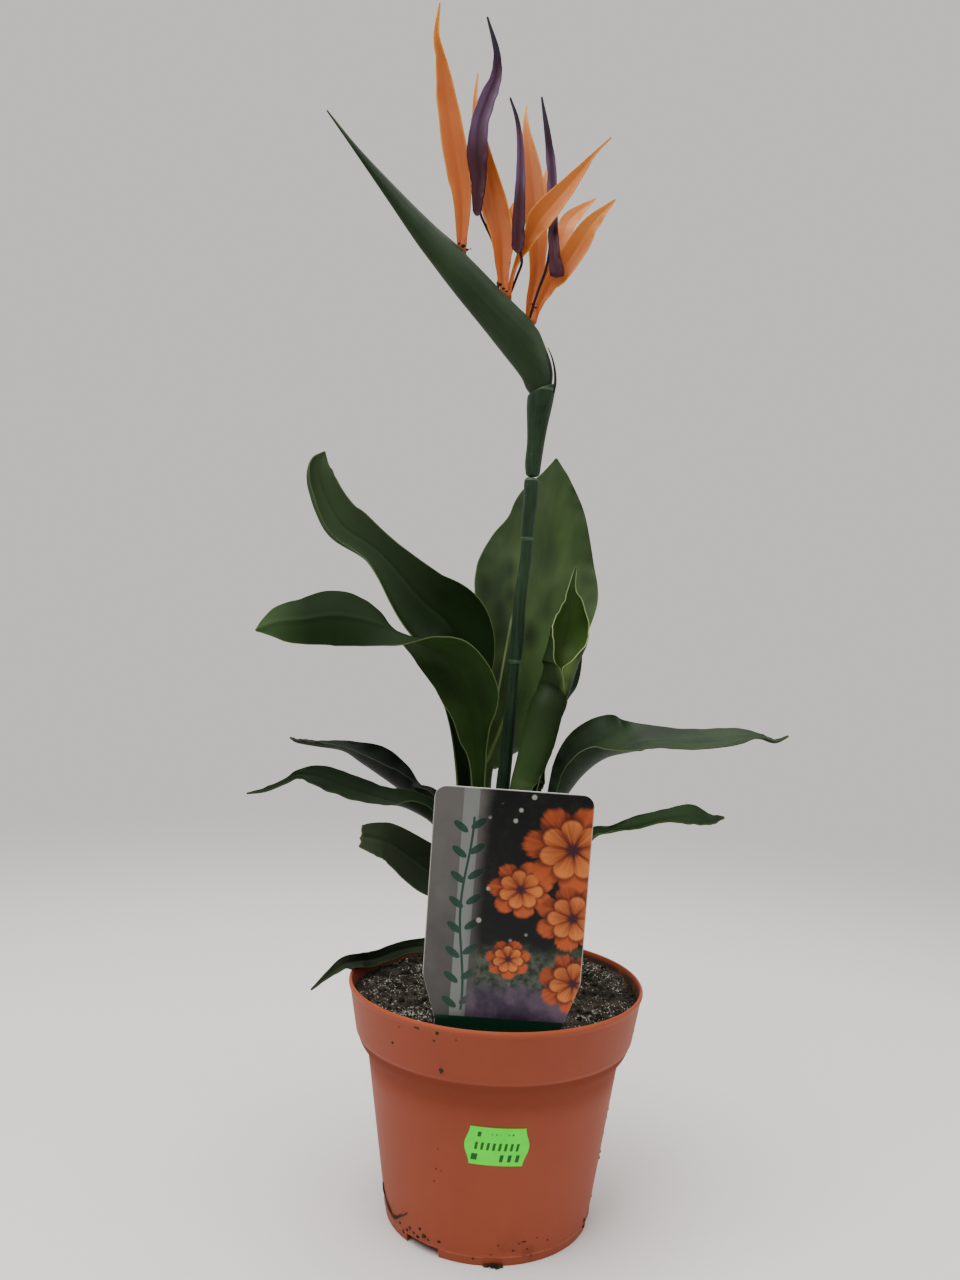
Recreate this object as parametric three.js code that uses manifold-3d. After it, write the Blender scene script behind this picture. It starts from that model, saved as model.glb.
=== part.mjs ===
import * as THREE from 'three';
import { mergeVertices } from 'three/addons/utils/BufferGeometryUtils.js';
import Module from 'manifold-3d';

const wasm = await Module();
wasm.setup();

// A bird of paradise in a grower's pot. Millimetres, Z up, the pot stands on z = 0 with its
// middle on the Z axis, and the front of the plant looks along -Y.

// Pot: a lip of 130 mm, a collar, a slanted step and a tapered body on a notched foot.
const potHeight = 102;
const lipRadius = 65;
const collarFoot = 79.7;
const collarRadius = 61;
const stepHeight = 71;
const shoulderRadius = 59.2;
const shoulderHeight = 76;
const footRadius = 44.8;
const bodySlope = 0.151;
const wall = 1.2;
const lipBand = 3;
const lipStep = 0.6;
const footWall = 1.6;
const footLine = 4;
const footLineHalf = 0.8;
const footLineOut = 0.35;
const floorUnder = 5.5;
const floorTop = 7;
const padRadius = 11;
const potSides = 42;
const notchHeight = 4;
const notchWidth = 17;
const notchDepth = 8;
const notchTurns = [-127, -7, 113];
const drainCount = 6;
const drainRing = 28;
const drainRadius = 4;
const drainLength = 6;

// Soil: fills the pot up to 7 mm below the lip.
const soilTop = 95;
const soilRadius = 61.8;
const soilGap = 0.5;
const soilRings = [11, 22, 33, 44, 54];
const soilBank = 3.5;
const soilSides = 32;
const rootGap = 0.4;

// Card with a stake, pushed in at the front edge and leaning a little right and forward.
const cardHalf = 31;
const cardFootHalf = 25;
const cardShoulder = 22;
const cardTop = 97;
const cardCorner = 5;
const cardThick = 0.8;
const cardDepth = -20;
const stakeTipHalf = 2;
const stakeHalf = 7;
const cardBase = [0, -55, 98];
const cardLean = [0.0292, -0.0729];

// Price sticker with bulging ends on the front of the body.
const stickerWide = 26;
const stickerCornerWide = 22;
const stickerHigh = 16;
const stickerTurn = 2;
const stickerThick = 0.7;
const stickerGap = 0.3;
const stickerCentre = [1.8, 52];

// Leaf sheets: thickness at the margin, over the midrib and in the stalk.
const leafEdge = 0.7;
const leafRib = 1.3;
const stalkEdge = 1.1;
const stalkRib = 3;

// Sepals and tongues of the flowers.
const sepalEdge = 0.7;
const sepalRib = 1.5;
const tongueEdge = 1;
const tongueRib = 2.2;
const filamentRadius = 0.6;

const colours = {
  pot: 0xb85f3e,
  soil: 0x2e2620,
  card: 0x4a4f4a,
  sticker: 0x78dc55,
  stem: 0x274432,
  spathe: 0x32452e,
  sepal: 0xd8793a,
  tongue: 0x5c4468,
  leaf: 0x2f4a2c,
  leafDark: 0x1d2f20,
  leafPale: 0x46603a,
  leafGrey: 0x43584a,
};

// A row of a sheet: x, y, z, half width, roll, curl of both halves, extra curl of each margin.
// Roll 0 faces the front; rows run from the root to the tip.
const leaves = {
  leaf_upper_left: {
    colour: 'leaf', along: 26, across: 6, stalkEnd: 4, holeTo: 0.5,
    bumps: [[8.6, 1, 1.6, 0.45]],
    rows: [
      [-14, 7, 80, 3, -10, 60],
      [-15, 8, 120, 3, -10, 60],
      [-16.5, 8, 160, 3, -10, 55],
      [-18, 7, 189, 3.5, -10, 50],
      [-20.5, 4.5, 214.5, 5.5, 0, 45],
      [-20.5, 3.5, 232.5, 13.5, 0, 30],
      [-26, 5.5, 256, 18.5, 5, 20, 60, 0],
      [-41.5, 12, 270, 15, 5, 20, 80, 0],
      [-62, 19, 291, 9, 5, 30, 110, 0],
      [-80, 20, 303, 11, 0, 40, 140, 0],
      [-89.5, 19, 318.5, 9, -5, 45, 150, 0],
      [-91.5, 18, 328.5, 6.5, -10, 35, 120, 0],
      [-89, 18, 336.5, 0.4, -10, 0],
    ],
  },
  leaf_twisted_left: {
    colour: 'leaf', along: 26, across: 4, stalkEnd: 2.4, holeTo: 0.5,
    rows: [
      [-10, -9, 80, 3, 0, 60],
      [-10.5, -9.5, 125, 3, 0, 60],
      [-11.5, -11, 190, 3, 0, 50],
      [-14, -12, 211, 7.5, 0, 40, 0, 60],
      [-16, -13, 227, 12.5, 2, 30],
      [-24, -16, 240.5, 12.5, 8, 22],
      [-34.5, -19.5, 248, 11.5, 46, 22],
      [-47, -22.5, 252.3, 10, 96, 30],
      [-59.5, -25, 257, 11.5, 138, 22],
      [-74, -27, 259.2, 13, 155, 12],
      [-87, -29, 257, 10.5, 160, 10],
      [-98, -30, 255.5, 7.5, 160, 10],
      [-107, -30, 252, 0.4, 160, 0],
    ],
  },
  leaf_dark_left: {
    colour: 'leafDark', along: 22, across: 6, stalkEnd: 2.4, holeTo: 0.45,
    rows: [
      [-13, 15, 80, 2.5, -50, 60],
      [-15, 16, 125, 2.5, -50, 60],
      [-19, 16.5, 155, 3, -55, 60],
      [-31.5, 17, 175.5, 8, -86, 60],
      [-42, 19, 179, 12, -98, 60],
      [-52.5, 22, 185, 16, -87, 60],
      [-64.5, 25, 192.5, 14, -78, 60],
      [-75.5, 28, 198, 6, -78, 55],
      [-88.5, 30, 199.5, 4, -93, 40],
      [-97, 31, 200.5, 3, -92, 30],
      [-102, 32, 202, 0.4, -92, 0],
    ],
  },
  leaf_low_left: {
    colour: 'leafDark', along: 22, across: 4, stalkEnd: 2.4, holeTo: 0.5,
    rows: [
      [-16, -2, 80, 2.5, -45, 60],
      [-18, -3, 125, 3, -45, 60],
      [-22.5, -6, 155, 3.5, -50, 60],
      [-28.5, -10, 170.5, 8, -72, 70],
      [-40, -14, 178.5, 11, -90, 60],
      [-51.5, -17, 182, 8.5, -74, 25],
      [-66, -20, 186.5, 7, -55, 20],
      [-78, -23, 191, 6, -50, 15],
      [-87, -25, 192, 2.6, -45, 30],
      [-93, -26, 189, 1.6, -60, 30],
      [-101, -27, 185.5, 1.5, -70, 20],
      [-108.5, -28, 184, 0.4, -90, 0],
    ],
  },
  leaf_cut_left: {
    colour: 'leaf', along: 16, across: 4, stalkEnd: 1.8, holeTo: 0.7,
    rows: [
      [-3, -15, 80, 3.5, -20, 60],
      [-5, -17, 112, 4, -25, 55],
      [-11, -22, 138, 6, -30, 45],
      [-18.5, -30, 149.5, 8.5, -30, 30],
      [-30.5, -36, 156.5, 10, -28, 20],
      [-44.5, -41, 167, 8, -28, 20],
      [-50.5, -45, 170, 7, -28, 15],
      [-58.5, -49, 172, 4.5, -28, 10],
    ],
  },
  leaf_over_rim: {
    colour: 'leafPale', along: 22, across: 4, stalkEnd: 0.9, holeTo: 0.96, holeSteps: 4,
    rows: [
      [-3, 19, 80, 2.5, -70, 50],
      [-6, 21, 103, 3, -70, 45],
      [-24, 33, 106.5, 3.8, -60, 35],
      [-33, 42, 102, 4, -45, 30],
      [-44, 39, 101, 3.5, -40, 30],
      [-56, 22, 101, 3.5, -35, 30],
      [-62.5, 8, 104, 3.2, -45, 30],
      [-68, -3, 105.5, 3, -50, 30],
      [-74.5, -12, 102.5, 1.2, -40, 40],
      [-79, -20, 100, 0.4, -40, 0],
    ],
  },
  leaf_broad_rear: {
    colour: 'leafPale', along: 22, across: 6, stalkEnd: 2.4, holeTo: 0.45,
    bumps: [[8.5, -1, -2, 0.3]],
    rows: [
      [-6, 8.5, 80, 3, -5, 60],
      [-7, 9, 130, 3, -5, 60],
      [-9, 10, 188, 3.5, -5, 50],
      [-7, 10, 199, 7, -8, 40],
      [-1.5, 13, 214, 16.5, -12, 35],
      [4, 17, 234.5, 23.5, -14, 30],
      [7.5, 21, 257, 28, -14, 30],
      [11, 25, 277.5, 31, -12, 25],
      [14, 30, 296, 25.5, -10, 20],
      [17.5, 34, 317.5, 17, -8, 20],
      [19.5, 37, 331, 8, -4, 10],
      [20, 39, 341.5, 0.4, 0, 0],
    ],
  },
  leaf_rolled: {
    colour: 'leaf', along: 27, across: 10, stalkEnd: 3, holeTo: 0.5, holeSteps: 4,
    rows: [
      [5, -6, 80, 4.5, 0, 75],
      [5, -6.5, 125, 6.5, -15, 95],
      [4.2, -6, 158, 10, -40, 125],
      [3.8, -5, 175, 12.3, -50, 138],
      [4.4, -4, 188.9, 14.2, -62, 152],
      [5.6, -4.6, 195.6, 15.2, -75, 165],
      [6.9, -5.5, 202.4, 18.4, -85, 176],
      [7.9, -5.5, 209, 20.3, -90, 176],
      [9.5, -5, 217, 20.6, -90, 176],
      [11.5, -3.3, 225, 20.8, -80, 176],
      [15.3, 1.1, 231.2, 21.1, -42, 176],
      [21.3, 3.6, 238.4, 21.8, 0, 176],
      [23.6, 4.4, 246, 18, 0, 140],
      [25.3, 5.5, 252.3, 15.8, -2, 113],
      [26.7, 6, 259, 14, 0, 100],
      [27.2, 4.5, 265.7, 11, 0, 90],
      [27.2, 1.4, 271.5, 6.2, 0, 80],
      [26.6, -1.6, 276.7, 1.9, 0, 60],
      [27.7, -5, 286, 0.4, 0, 0],
    ],
  },
  leaf_dark_rear: {
    colour: 'leafDark', along: 16, across: 4, stalkEnd: 2.4, holeTo: 0.45,
    rows: [
      [6, 15, 80, 3, 0, 60],
      [8, 17, 130, 3, 0, 60],
      [14, 22, 180, 3.5, 5, 50],
      [19.5, 27, 220.5, 7.5, 5, 35],
      [23, 34, 238, 12.5, 0, 25],
      [25, 44, 269, 11, 0, 20],
      [25.5, 55, 290, 8, 0, 20],
      [23, 66, 300, 0.8, 0, 0],
    ],
  },
  leaf_long_right: {
    colour: 'leafGrey', along: 26, across: 6, stalkEnd: 2.4, holeTo: 0.5,
    bumps: [[6.6, -1, 1.6, 0.5]],
    rows: [
      [14, -3, 80, 3, 50, 65],
      [15.5, -4, 120, 3.5, 50, 65],
      [19, -4.5, 158, 4.5, 60, 65],
      [25, -5, 181, 9, 80, 70],
      [30, -5, 190.5, 16, 84, 72],
      [36.5, -5.5, 198.5, 22, 84, 68],
      [44, -6, 204.5, 23, 80, 58],
      [53, -8, 208.5, 18, 73, 38],
      [63, -9, 211.5, 10.5, 66, 22],
      [82, -10, 212, 7.5, 60, 15],
      [100, -12, 214.5, 6, 60, 15],
      [109.5, -13, 215.5, 2.5, 75, 30],
      [116, -14, 214, 2, 90, 20],
      [121.5, -15, 216.5, 0.6, 90, 0],
    ],
  },
  leaf_short_right: {
    colour: 'leaf', along: 18, across: 4, stalkEnd: 3.4, holeTo: 0.5,
    rows: [
      [10, -15, 80, 2.5, 40, 60],
      [14, -17, 120, 2.5, 50, 60],
      [23, -20, 150, 2.5, 60, 60],
      [36, -24, 170.5, 3, 60, 55],
      [45.5, -26, 174.5, 2, 60, 50],
      [55, -28, 177.5, 4, 60, 35],
      [66.5, -30, 181.5, 4, 62, 20],
      [77.5, -31, 182.5, 6.5, 60, 20],
      [85, -32, 181.5, 3.5, 60, 15],
      [91, -33, 183, 0.5, 60, 0],
    ],
  },
  leaf_young_tip: {
    colour: 'leafPale', along: 8, across: 4, stalkEnd: 1.6, holeTo: 0.45,
    rows: [
      [7, 5, 80, 2, 20, 80],
      [9.5, 4, 130, 2.5, 20, 90],
      [14.5, 2, 181.5, 3, 20, 95],
      [16.5, 2, 188, 2, 20, 80],
      [17.5, 2, 194.5, 0.6, 20, 0],
    ],
  },
};

// Sepals by floret, rows as in the leaves.
const sepals = {
  floret_left: [
    [
      [-28, -0.4, 425, 1.3, 0, 30],
      [-28.8, -0.4, 428.5, 2, 0, 30],
      [-29.5, -1, 447.5, 4, 0, 30],
      [-33, -2, 466, 5.5, 0, 30],
      [-38, -3.5, 490.5, 4.5, 0, 30],
      [-41, -5, 506.5, 2.5, 0, 30],
      [-43.5, -7.5, 517, 1.2, 0, 30],
      [-42.5, -10, 529.5, 0.4, 0, 0],
    ],
  ],
  floret_middle: [
    [
      [-8.4, 0, 406, 1.6, 0, 30],
      [-9.8, 1, 415, 2.5, 0, 30],
      [-11, 2, 432.5, 5, 0, 30],
      [-15, 3, 447.5, 6, 0, 30],
      [-21.5, 4, 472.5, 3.5, 0, 30],
      [-25.5, 6, 493, 1.2, 0, 30],
      [-25, 8, 509.5, 0.4, 0, 0],
    ],
    [
      [-6.6, -0.8, 403.6, 0.8, 0, 30],
      [-6.4, -2, 410, 0.8, 0, 30],
      [-4, -3.5, 420, 1.1, 0, 30],
      [2, -5, 432, 3.5, 0, 30],
      [6, -7, 439, 5.5, 0, 30],
      [17.5, -10, 452.5, 3.5, 0, 30],
      [27, -14, 464, 0.8, 0, 30],
      [34, -18, 470, 0.4, 0, 0],
    ],
    [
      [-8, -0.2, 405.2, 1, 0, 0],
      [-8.3, 0.8, 409.5, 1.1, 0, 10],
      [-8.5, 4.8, 416, 1.3, 0, 20],
      [-8.5, 6.2, 423, 1.6, 0, 20],
      [-8, 7, 433.5, 2.5, 0, 20],
      [-7.5, 7.5, 445.5, 1.4, 0, 20],
      [-6.5, 9, 451.5, 0.5, 0, 0],
    ],
  ],
  floret_right: [
    [
      [3.6, -0.4, 394.6, 1.3, 0, 30],
      [3, 1.4, 401, 2, 0, 30],
      [5.5, 3.5, 420.5, 3.5, 0, 30],
      [4, 5, 443, 5, 0, 30],
      [1.5, 7.5, 464.5, 4.5, 0, 30],
      [-2, 10.5, 487, 1.4, 0, 30],
      [-2, 14, 499, 0.4, 0, 0],
    ],
    [
      [4, -0.4, 394.8, 1, 0, 0],
      [4.2, 0.8, 399.5, 1.1, 0, 10],
      [4.4, 6.3, 409, 1.3, 0, 20],
      [6, 8, 426, 2.5, 0, 20],
      [6.5, 11, 447.5, 3, 0, 20],
      [8, 15, 464.5, 1.5, 0, 20],
      [9.5, 20, 475.5, 0.5, 0, 0],
    ],
    [
      [4.8, -0.6, 394.4, 1, 0, 0],
      [6.5, -1.5, 401, 1.3, 0, 30],
      [11, -2.5, 410.5, 3, 0, 30],
      [15, -4.5, 415.5, 4.5, 0, 30],
      [22.5, -6, 427.5, 5, 0, 30],
      [28, -8.5, 436.5, 3.5, 0, 30],
      [37.5, -12, 446, 0.4, 0, 0],
    ],
    [
      [4.8, 0, 394.8, 1, 0, 0],
      [5.6, 1, 399.5, 1.1, 0, 10],
      [7.4, 5.5, 408, 1.4, 0, 25],
      [11.5, 7.5, 422.5, 2, 0, 25],
      [17, 10.5, 438.5, 3.5, 0, 25],
      [20.5, 14.5, 448, 3.5, 0, 25],
      [32, 20, 460, 0.4, 0, 0],
    ],
  ],
};

// Short stub that joins the sepals of a floret inside the slot: x, y, z, radius along, radius across.
const stubs = {
  floret_left: [
    [-27.4, 0, 424.2, 0.9, 0.7],
    [-27.8, 0, 425.4, 1.4, 1.2],
    [-28.6, 0, 428, 1.6, 1.2],
  ],
  floret_middle: [
    [-7.4, 0, 404.4, 1.2, 1],
    [-7.6, 0, 406, 1.9, 1.7],
    [-7.8, 0, 409.5, 2.2, 1.9],
  ],
  floret_right: [
    [4.2, 0, 393.8, 1.2, 1],
    [4.4, 0, 395.4, 1.9, 1.7],
    [4.6, 0, 398.5, 2.2, 1.9],
  ],
};

// Tongues, rows as in the leaves, each with the path of its thin stalk down to the slot.
const tongues = {
  tongue_left: {
    rows: [
      [-22.5, -3, 440.5, 1, 0, 0],
      [-22.5, -3, 442.5, 1.8, 0, 40],
      [-22.5, -3, 449.5, 2.7, 0, 40],
      [-22.5, -3, 456, 3.4, 0, 40],
      [-23.5, -3.5, 467, 4.7, 0, 40],
      [-23, -4, 480, 3.9, 0, 40],
      [-20, -4.5, 491, 3.6, 0, 40],
      [-16.5, -5.5, 501.5, 2.3, 0, 40],
      [-17, -6.5, 512, 1.2, 0, 40],
      [-21.5, -8, 525.5, 0.4, 0, 0],
    ],
    stalk: [
      [-11.8, 1, 408.8],
      [-11.9, 2.1, 411.8],
      [-11.6, 4.6, 416.5],
      [-12.4, 6.6, 424],
      [-15.2, 7, 433],
      [-18.6, 5, 439],
      [-20.8, 1.2, 442],
      [-22.3, -1.6, 446],
    ],
  },
  tongue_middle: {
    rows: [
      [-4, -8.5, 422.5, 0.8, 0, 0],
      [-4, -8.5, 425.5, 2.5, 0, 40],
      [-4, -8, 436, 2.7, 0, 40],
      [-4, -7.5, 450.5, 2.1, 0, 40],
      [-4.5, -7, 468, 1.4, 0, 40],
      [-6.5, -7.5, 481, 0.7, 0, 40],
      [-10, -8, 490.5, 0.4, 0, 0],
    ],
    stalk: [
      [-6.2, 0.6, 407.5],
      [-5, 0.6, 411],
      [-3.4, -0.6, 415.4],
      [-1.9, -3.4, 419.2],
      [-2.2, -5.6, 422],
      [-3.8, -7.2, 427],
    ],
  },
  tongue_right: {
    rows: [
      [13.5, -9.5, 412.5, 2.9, 0, 0],
      [13.5, -9.5, 414.5, 3.1, 0, 40],
      [12.5, -8.5, 420.5, 2.5, 0, 40],
      [11.5, -5.5, 432, 2.1, 0, 40],
      [11, -2, 446.5, 1.9, 0, 40],
      [9.5, -1.5, 464.5, 1.9, 0, 40],
      [7, -2.5, 479.5, 1.1, 0, 40],
      [4, -3, 494, 0.4, 0, 0],
    ],
    stalk: [
      [3, -0.9, 396.5],
      [4, -1.8, 401],
      [6.3, -2.8, 409],
      [8.9, -4, 417],
      [10, -4.9, 424],
      [10.4, -4.5, 431],
      [11.2, -2.6, 438],
    ],
  },
};

// Round members: x, y, z, radius in the plane of the picture, radius in depth, tilt of the ring.
const lowerStem = [
  [-5, 0, 80, 3.2, 3.2, 0],
  [-5, 0, 95, 3.2, 3.2, 0],
  [-3.1, 0, 140, 3.1, 3.1, 0],
  [-0.3, 0, 188, 3.1, 3.1, 0],
  [0.6, 0, 199, 2.8, 2.8, 0],
  [1.4, 0, 217, 2.9, 2.9, 0],
  [2, 0, 235, 2.5, 2.5, 0],
  [2.5, 0, 242.5, 2.45, 2.45, 0],
  [2.6, 0, 243.5, 2.95, 2.95, 0],
  [3.4, 0, 252.7, 2.9, 2.9, 0],
  [3.8, 0, 270.6, 2.7, 2.7, 0],
  [5.5, 0, 288.6, 2.5, 2.5, 0],
  [5.7, 0, 297, 2.5, 2.5, 0],
  [5.8, 0, 298.4, 2.85, 2.85, 0],
  [6.2, 0, 309.6, 3.1, 3.1, 0],
  [6.75, 0, 315.4, 3.2, 3.2, 0],
  [6.7, 0, 323.8, 3.35, 3.35, 0],
  [6.8, 0, 325.3, 2.5, 2.5, 0],
];
const upperStem = [
  [7.1, 0, 325.9, 2.4, 2.4, 0],
  [7.1, 0, 327.4, 3.2, 3.2, 0],
  [7.15, 0, 332.4, 3.7, 3.7, 0],
  [7.9, 0, 341, 3.95, 3.95, 2],
  [8.4, 0, 349.5, 4.8, 4.8, 6],
  [9, 0, 357.5, 6, 6, 14],
  [9.5, 0, 364.2, 6.9, 6.6, 23.6],
  [9.4, 0, 364.4, 6.0, 5.8, 23.6],
  [9.7, 0, 360.6, 5.3, 5.2, 20],
];
const spatheRings = [
  [9.75, 0, 361.1, 4.6, 4.4, 20],
  [9.6, 0, 362.4, 5, 4.8, 22],
  [9.2, 0, 365.2, 5.5, 5.2, 26],
  [8.2, 0, 369.5, 7.1, 5.6, 34],
  [5.6, 0, 376, 8, 6.1, 42],
  [-2, 0, 388, 10, 6.8, 46],
  [-8.5, 0, 395, 9.6, 6.5, 45],
  [-15, 0, 401.5, 9, 6.1, 45],
  [-22, 0, 408.8, 8.6, 5.8, 45],
  [-29, 0, 416, 8, 5.4, 46],
  [-37.5, 0, 424.5, 6.8, 4.6, 44],
  [-46, 0, 433, 5.5, 3.8, 43],
  [-59.5, 0, 448, 3.5, 2.4, 41],
  [-77.5, 0, 468.5, 1.3, 0.9, 41],
  [-91.5, 0, 485.5, 0.4, 0.4, 40],
];
const slotRings = [
  [9.6, 0, 393, 1.2, 0.9, 45],
  [7, 0, 395.6, 6, 2.9, 45],
  [1.2, 0, 401.6, 7, 3.2, 45],
  [-5.8, 0, 408.6, 7, 3.1, 45],
  [-12.8, 0, 415, 6.5, 2.9, 45],
  [-20.4, 0, 422.2, 6.1, 2.6, 45],
  [-26.6, 0, 428, 5.9, 2.4, 45],
  [-31, 0, 431, 1.2, 0.8, 45],
];
const stemSides = 12;
const spatheSides = 16;

function turn(degrees) {
  return degrees * Math.PI / 180;
}

// Values between two rows follow a smooth curve through all rows.
function rowAt(rows, at) {
  const last = rows.length - 1;
  const i = Math.min(Math.max(Math.floor(at), 0), last - 1);
  const f = at - i;
  const out = [];
  for (let k = 0; k < 8; k += 1) {
    const b = rows[i][k] ?? 0;
    const c = rows[i + 1][k] ?? 0;
    const a = i > 0 ? rows[i - 1][k] ?? 0 : 2 * b - c;
    const d = i < last - 1 ? rows[i + 2][k] ?? 0 : 2 * c - b;
    const bend = (2 * a - 5 * b + 4 * c - d) * f * f + (3 * b - a - 3 * c + d) * f * f * f;
    out.push(0.5 * (2 * b + (c - a) * f + bend));
  }
  return out;
}

// Frame of a sheet at a place along its midrib: the middle, the way across and the upper side.
function frameAt(rows, at) {
  const row = rowAt(rows, at);
  const low = rowAt(rows, at - 0.001);
  const high = rowAt(rows, at + 0.001);
  const ahead = new THREE.Vector3(high[0] - low[0], high[1] - low[1], high[2] - low[2]).normalize();
  const side = new THREE.Vector3(0, 1, 0).cross(ahead).normalize();
  const face = side.clone().cross(ahead);
  const roll = turn(row[4]);
  const across = side.clone().multiplyScalar(Math.cos(roll)).addScaledVector(face, Math.sin(roll));
  const up = face.clone().multiplyScalar(Math.cos(roll)).addScaledVector(side, -Math.sin(roll));
  return { middle: new THREE.Vector3(row[0], row[1], row[2]), across, up, row };
}

// The half from the midrib to a margin is an arc whose bend grows towards the margin.
function arcAt(curl, edgeCurl, t) {
  const reach = Math.abs(t);
  const steps = 8;
  let out = 0;
  let rise = 0;
  for (let i = 0; i < steps; i += 1) {
    const q = (i + 0.5) / steps * reach;
    const angle = turn(curl * q + edgeCurl * q ** 4);
    out += Math.cos(angle) * reach / steps;
    rise += Math.sin(angle) * reach / steps;
  }
  return { out, rise, angle: turn(curl * reach + edgeCurl * reach ** 4) };
}

function smooth(value) {
  const x = Math.min(Math.max(value, 0), 1);
  return x * x * (3 - 2 * x);
}

// Closed sheet: an upper and a lower face on the same grid, split alike, with all rims joined.
// A margin can swell or notch at a place; grow widens the whole sheet for the hole it stands in.
function sheetGeometry(form, from, to, along, grow) {
  const { rows, across, bumps = [] } = form;
  const upper = [];
  const lower = [];
  for (let i = 0; i <= along; i += 1) {
    const at = from + (to - from) * i / along;
    const { middle, across: way, up, row } = frameAt(rows, at);
    const blade = smooth((at - form.stalkEnd + 1.2) / 1.6);
    const edge = form.stalkEdge + (form.edge - form.stalkEdge) * blade;
    const rib = form.stalkRib + (form.rib - form.stalkRib) * blade;
    const power = 1 + 1.5 * blade;
    for (let j = 0; j <= across; j += 1) {
      const t = -1 + 2 * j / across;
      const sign = t < 0 ? -1 : 1;
      const { out, rise, angle } = arcAt(row[5], t < 0 ? row[6] : row[7], t);
      let width = Math.max(row[3], 0.3) + grow;
      for (const [place, side, extra, spread] of bumps) {
        if (side === sign) {
          width += extra * Math.exp(-(((at - place) / spread) ** 2));
        }
      }
      const thick = edge + (rib - edge) * (1 - t * t) ** power + 2 * grow;
      const normal = up.clone().multiplyScalar(Math.cos(angle));
      normal.addScaledVector(way, -Math.sin(angle) * sign);
      const place = middle.clone().addScaledVector(way, width * out * sign);
      place.addScaledVector(up, width * rise);
      upper.push(place.clone().addScaledVector(normal, grow));
      lower.push(place.addScaledVector(normal, grow - thick));
    }
  }
  const points = [...upper, ...lower];
  const wide = across + 1;
  const shift = upper.length;
  const faces = [];
  const quad = (a, b, c, d) => faces.push([a, b, c], [a, c, d]);
  for (let i = 0; i < along; i += 1) {
    for (let j = 0; j < across; j += 1) {
      const a = i * wide + j;
      const corners = [a, a + 1, a + wide + 1, a + wide];
      quad(...corners);
      const [p, q, r, s] = corners.map((k) => k + shift);
      faces.push([p, r, q], [p, s, r]);
    }
    const left = i * wide;
    const right = left + across;
    quad(left, left + wide, left + wide + shift, left + shift);
    quad(right, right + shift, right + wide + shift, right + wide);
  }
  const end = along * wide;
  for (let j = 0; j < across; j += 1) {
    quad(j, j + shift, j + 1 + shift, j + 1);
    quad(end + j, end + j + 1, end + j + 1 + shift, end + j + shift);
  }
  return meshFrom(points, faces);
}

// Member through rings of any outline; ends closed with a fan.
function ringGeometry(rings) {
  const sides = rings[0].length;
  const points = rings.flat();
  const faces = [];
  for (let i = 0; i + 1 < rings.length; i += 1) {
    for (let j = 0; j < sides; j += 1) {
      const a = i * sides + j;
      const b = i * sides + (j + 1) % sides;
      faces.push([a, b, b + sides], [a, b + sides, a + sides]);
    }
  }
  for (const [first, flip] of [[0, true], [(rings.length - 1) * sides, false]]) {
    const middle = new THREE.Vector3();
    for (let j = 0; j < sides; j += 1) {
      middle.addScaledVector(points[first + j], 1 / sides);
    }
    points.push(middle);
    for (let j = 0; j < sides; j += 1) {
      const a = first + j;
      const b = first + (j + 1) % sides;
      faces.push(flip ? [b, a, points.length - 1] : [a, b, points.length - 1]);
    }
  }
  return meshFrom(points, faces);
}

function meshFrom(points, faces) {
  let volume = 0;
  for (const [a, b, c] of faces) {
    volume += points[a].dot(points[b].clone().cross(points[c])) / 6;
  }
  const index = faces.flatMap(([a, b, c]) => (volume > 0 ? [a, b, c] : [a, c, b]));
  const geometry = new THREE.BufferGeometry();
  const positions = points.flatMap((p) => p.toArray());
  geometry.setAttribute('position', new THREE.Float32BufferAttribute(positions, 3));
  geometry.setIndex(index);
  return geometry;
}

function ellipseRing([x, y, z, plane, depth, tilt = 0], sides) {
  const ring = [];
  for (let k = 0; k < sides; k += 1) {
    const angle = 2 * Math.PI * k / sides;
    const u = plane * Math.cos(angle);
    const point = new THREE.Vector3(x, y + depth * Math.sin(angle), z);
    point.x += u * Math.cos(turn(tilt));
    point.z += u * Math.sin(turn(tilt));
    ring.push(point);
  }
  return ring;
}

function toSolid(geometry) {
  const plain = geometry.clone();
  plain.deleteAttribute('normal');
  plain.deleteAttribute('uv');
  const merged = mergeVertices(plain, 1e-4);
  const kept = [];
  const index = merged.index.array;
  for (let i = 0; i < index.length; i += 3) {
    const [a, b, c] = [index[i], index[i + 1], index[i + 2]];
    if (a !== b && b !== c && c !== a) {
      kept.push(a, b, c);
    }
  }
  const vertProperties = Float32Array.from(merged.attributes.position.array);
  return new wasm.Manifold(new wasm.Mesh({ numProp: 3, vertProperties, triVerts: Uint32Array.from(kept) }));
}

function toGeometry(solid) {
  const { vertProperties, triVerts } = solid.getMesh();
  const geometry = new THREE.BufferGeometry();
  geometry.setAttribute('position', new THREE.Float32BufferAttribute(vertProperties, 3));
  geometry.setIndex(Array.from(triVerts));
  return geometry;
}

function bodyRadius(z) {
  return footRadius + bodySlope * z;
}

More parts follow.
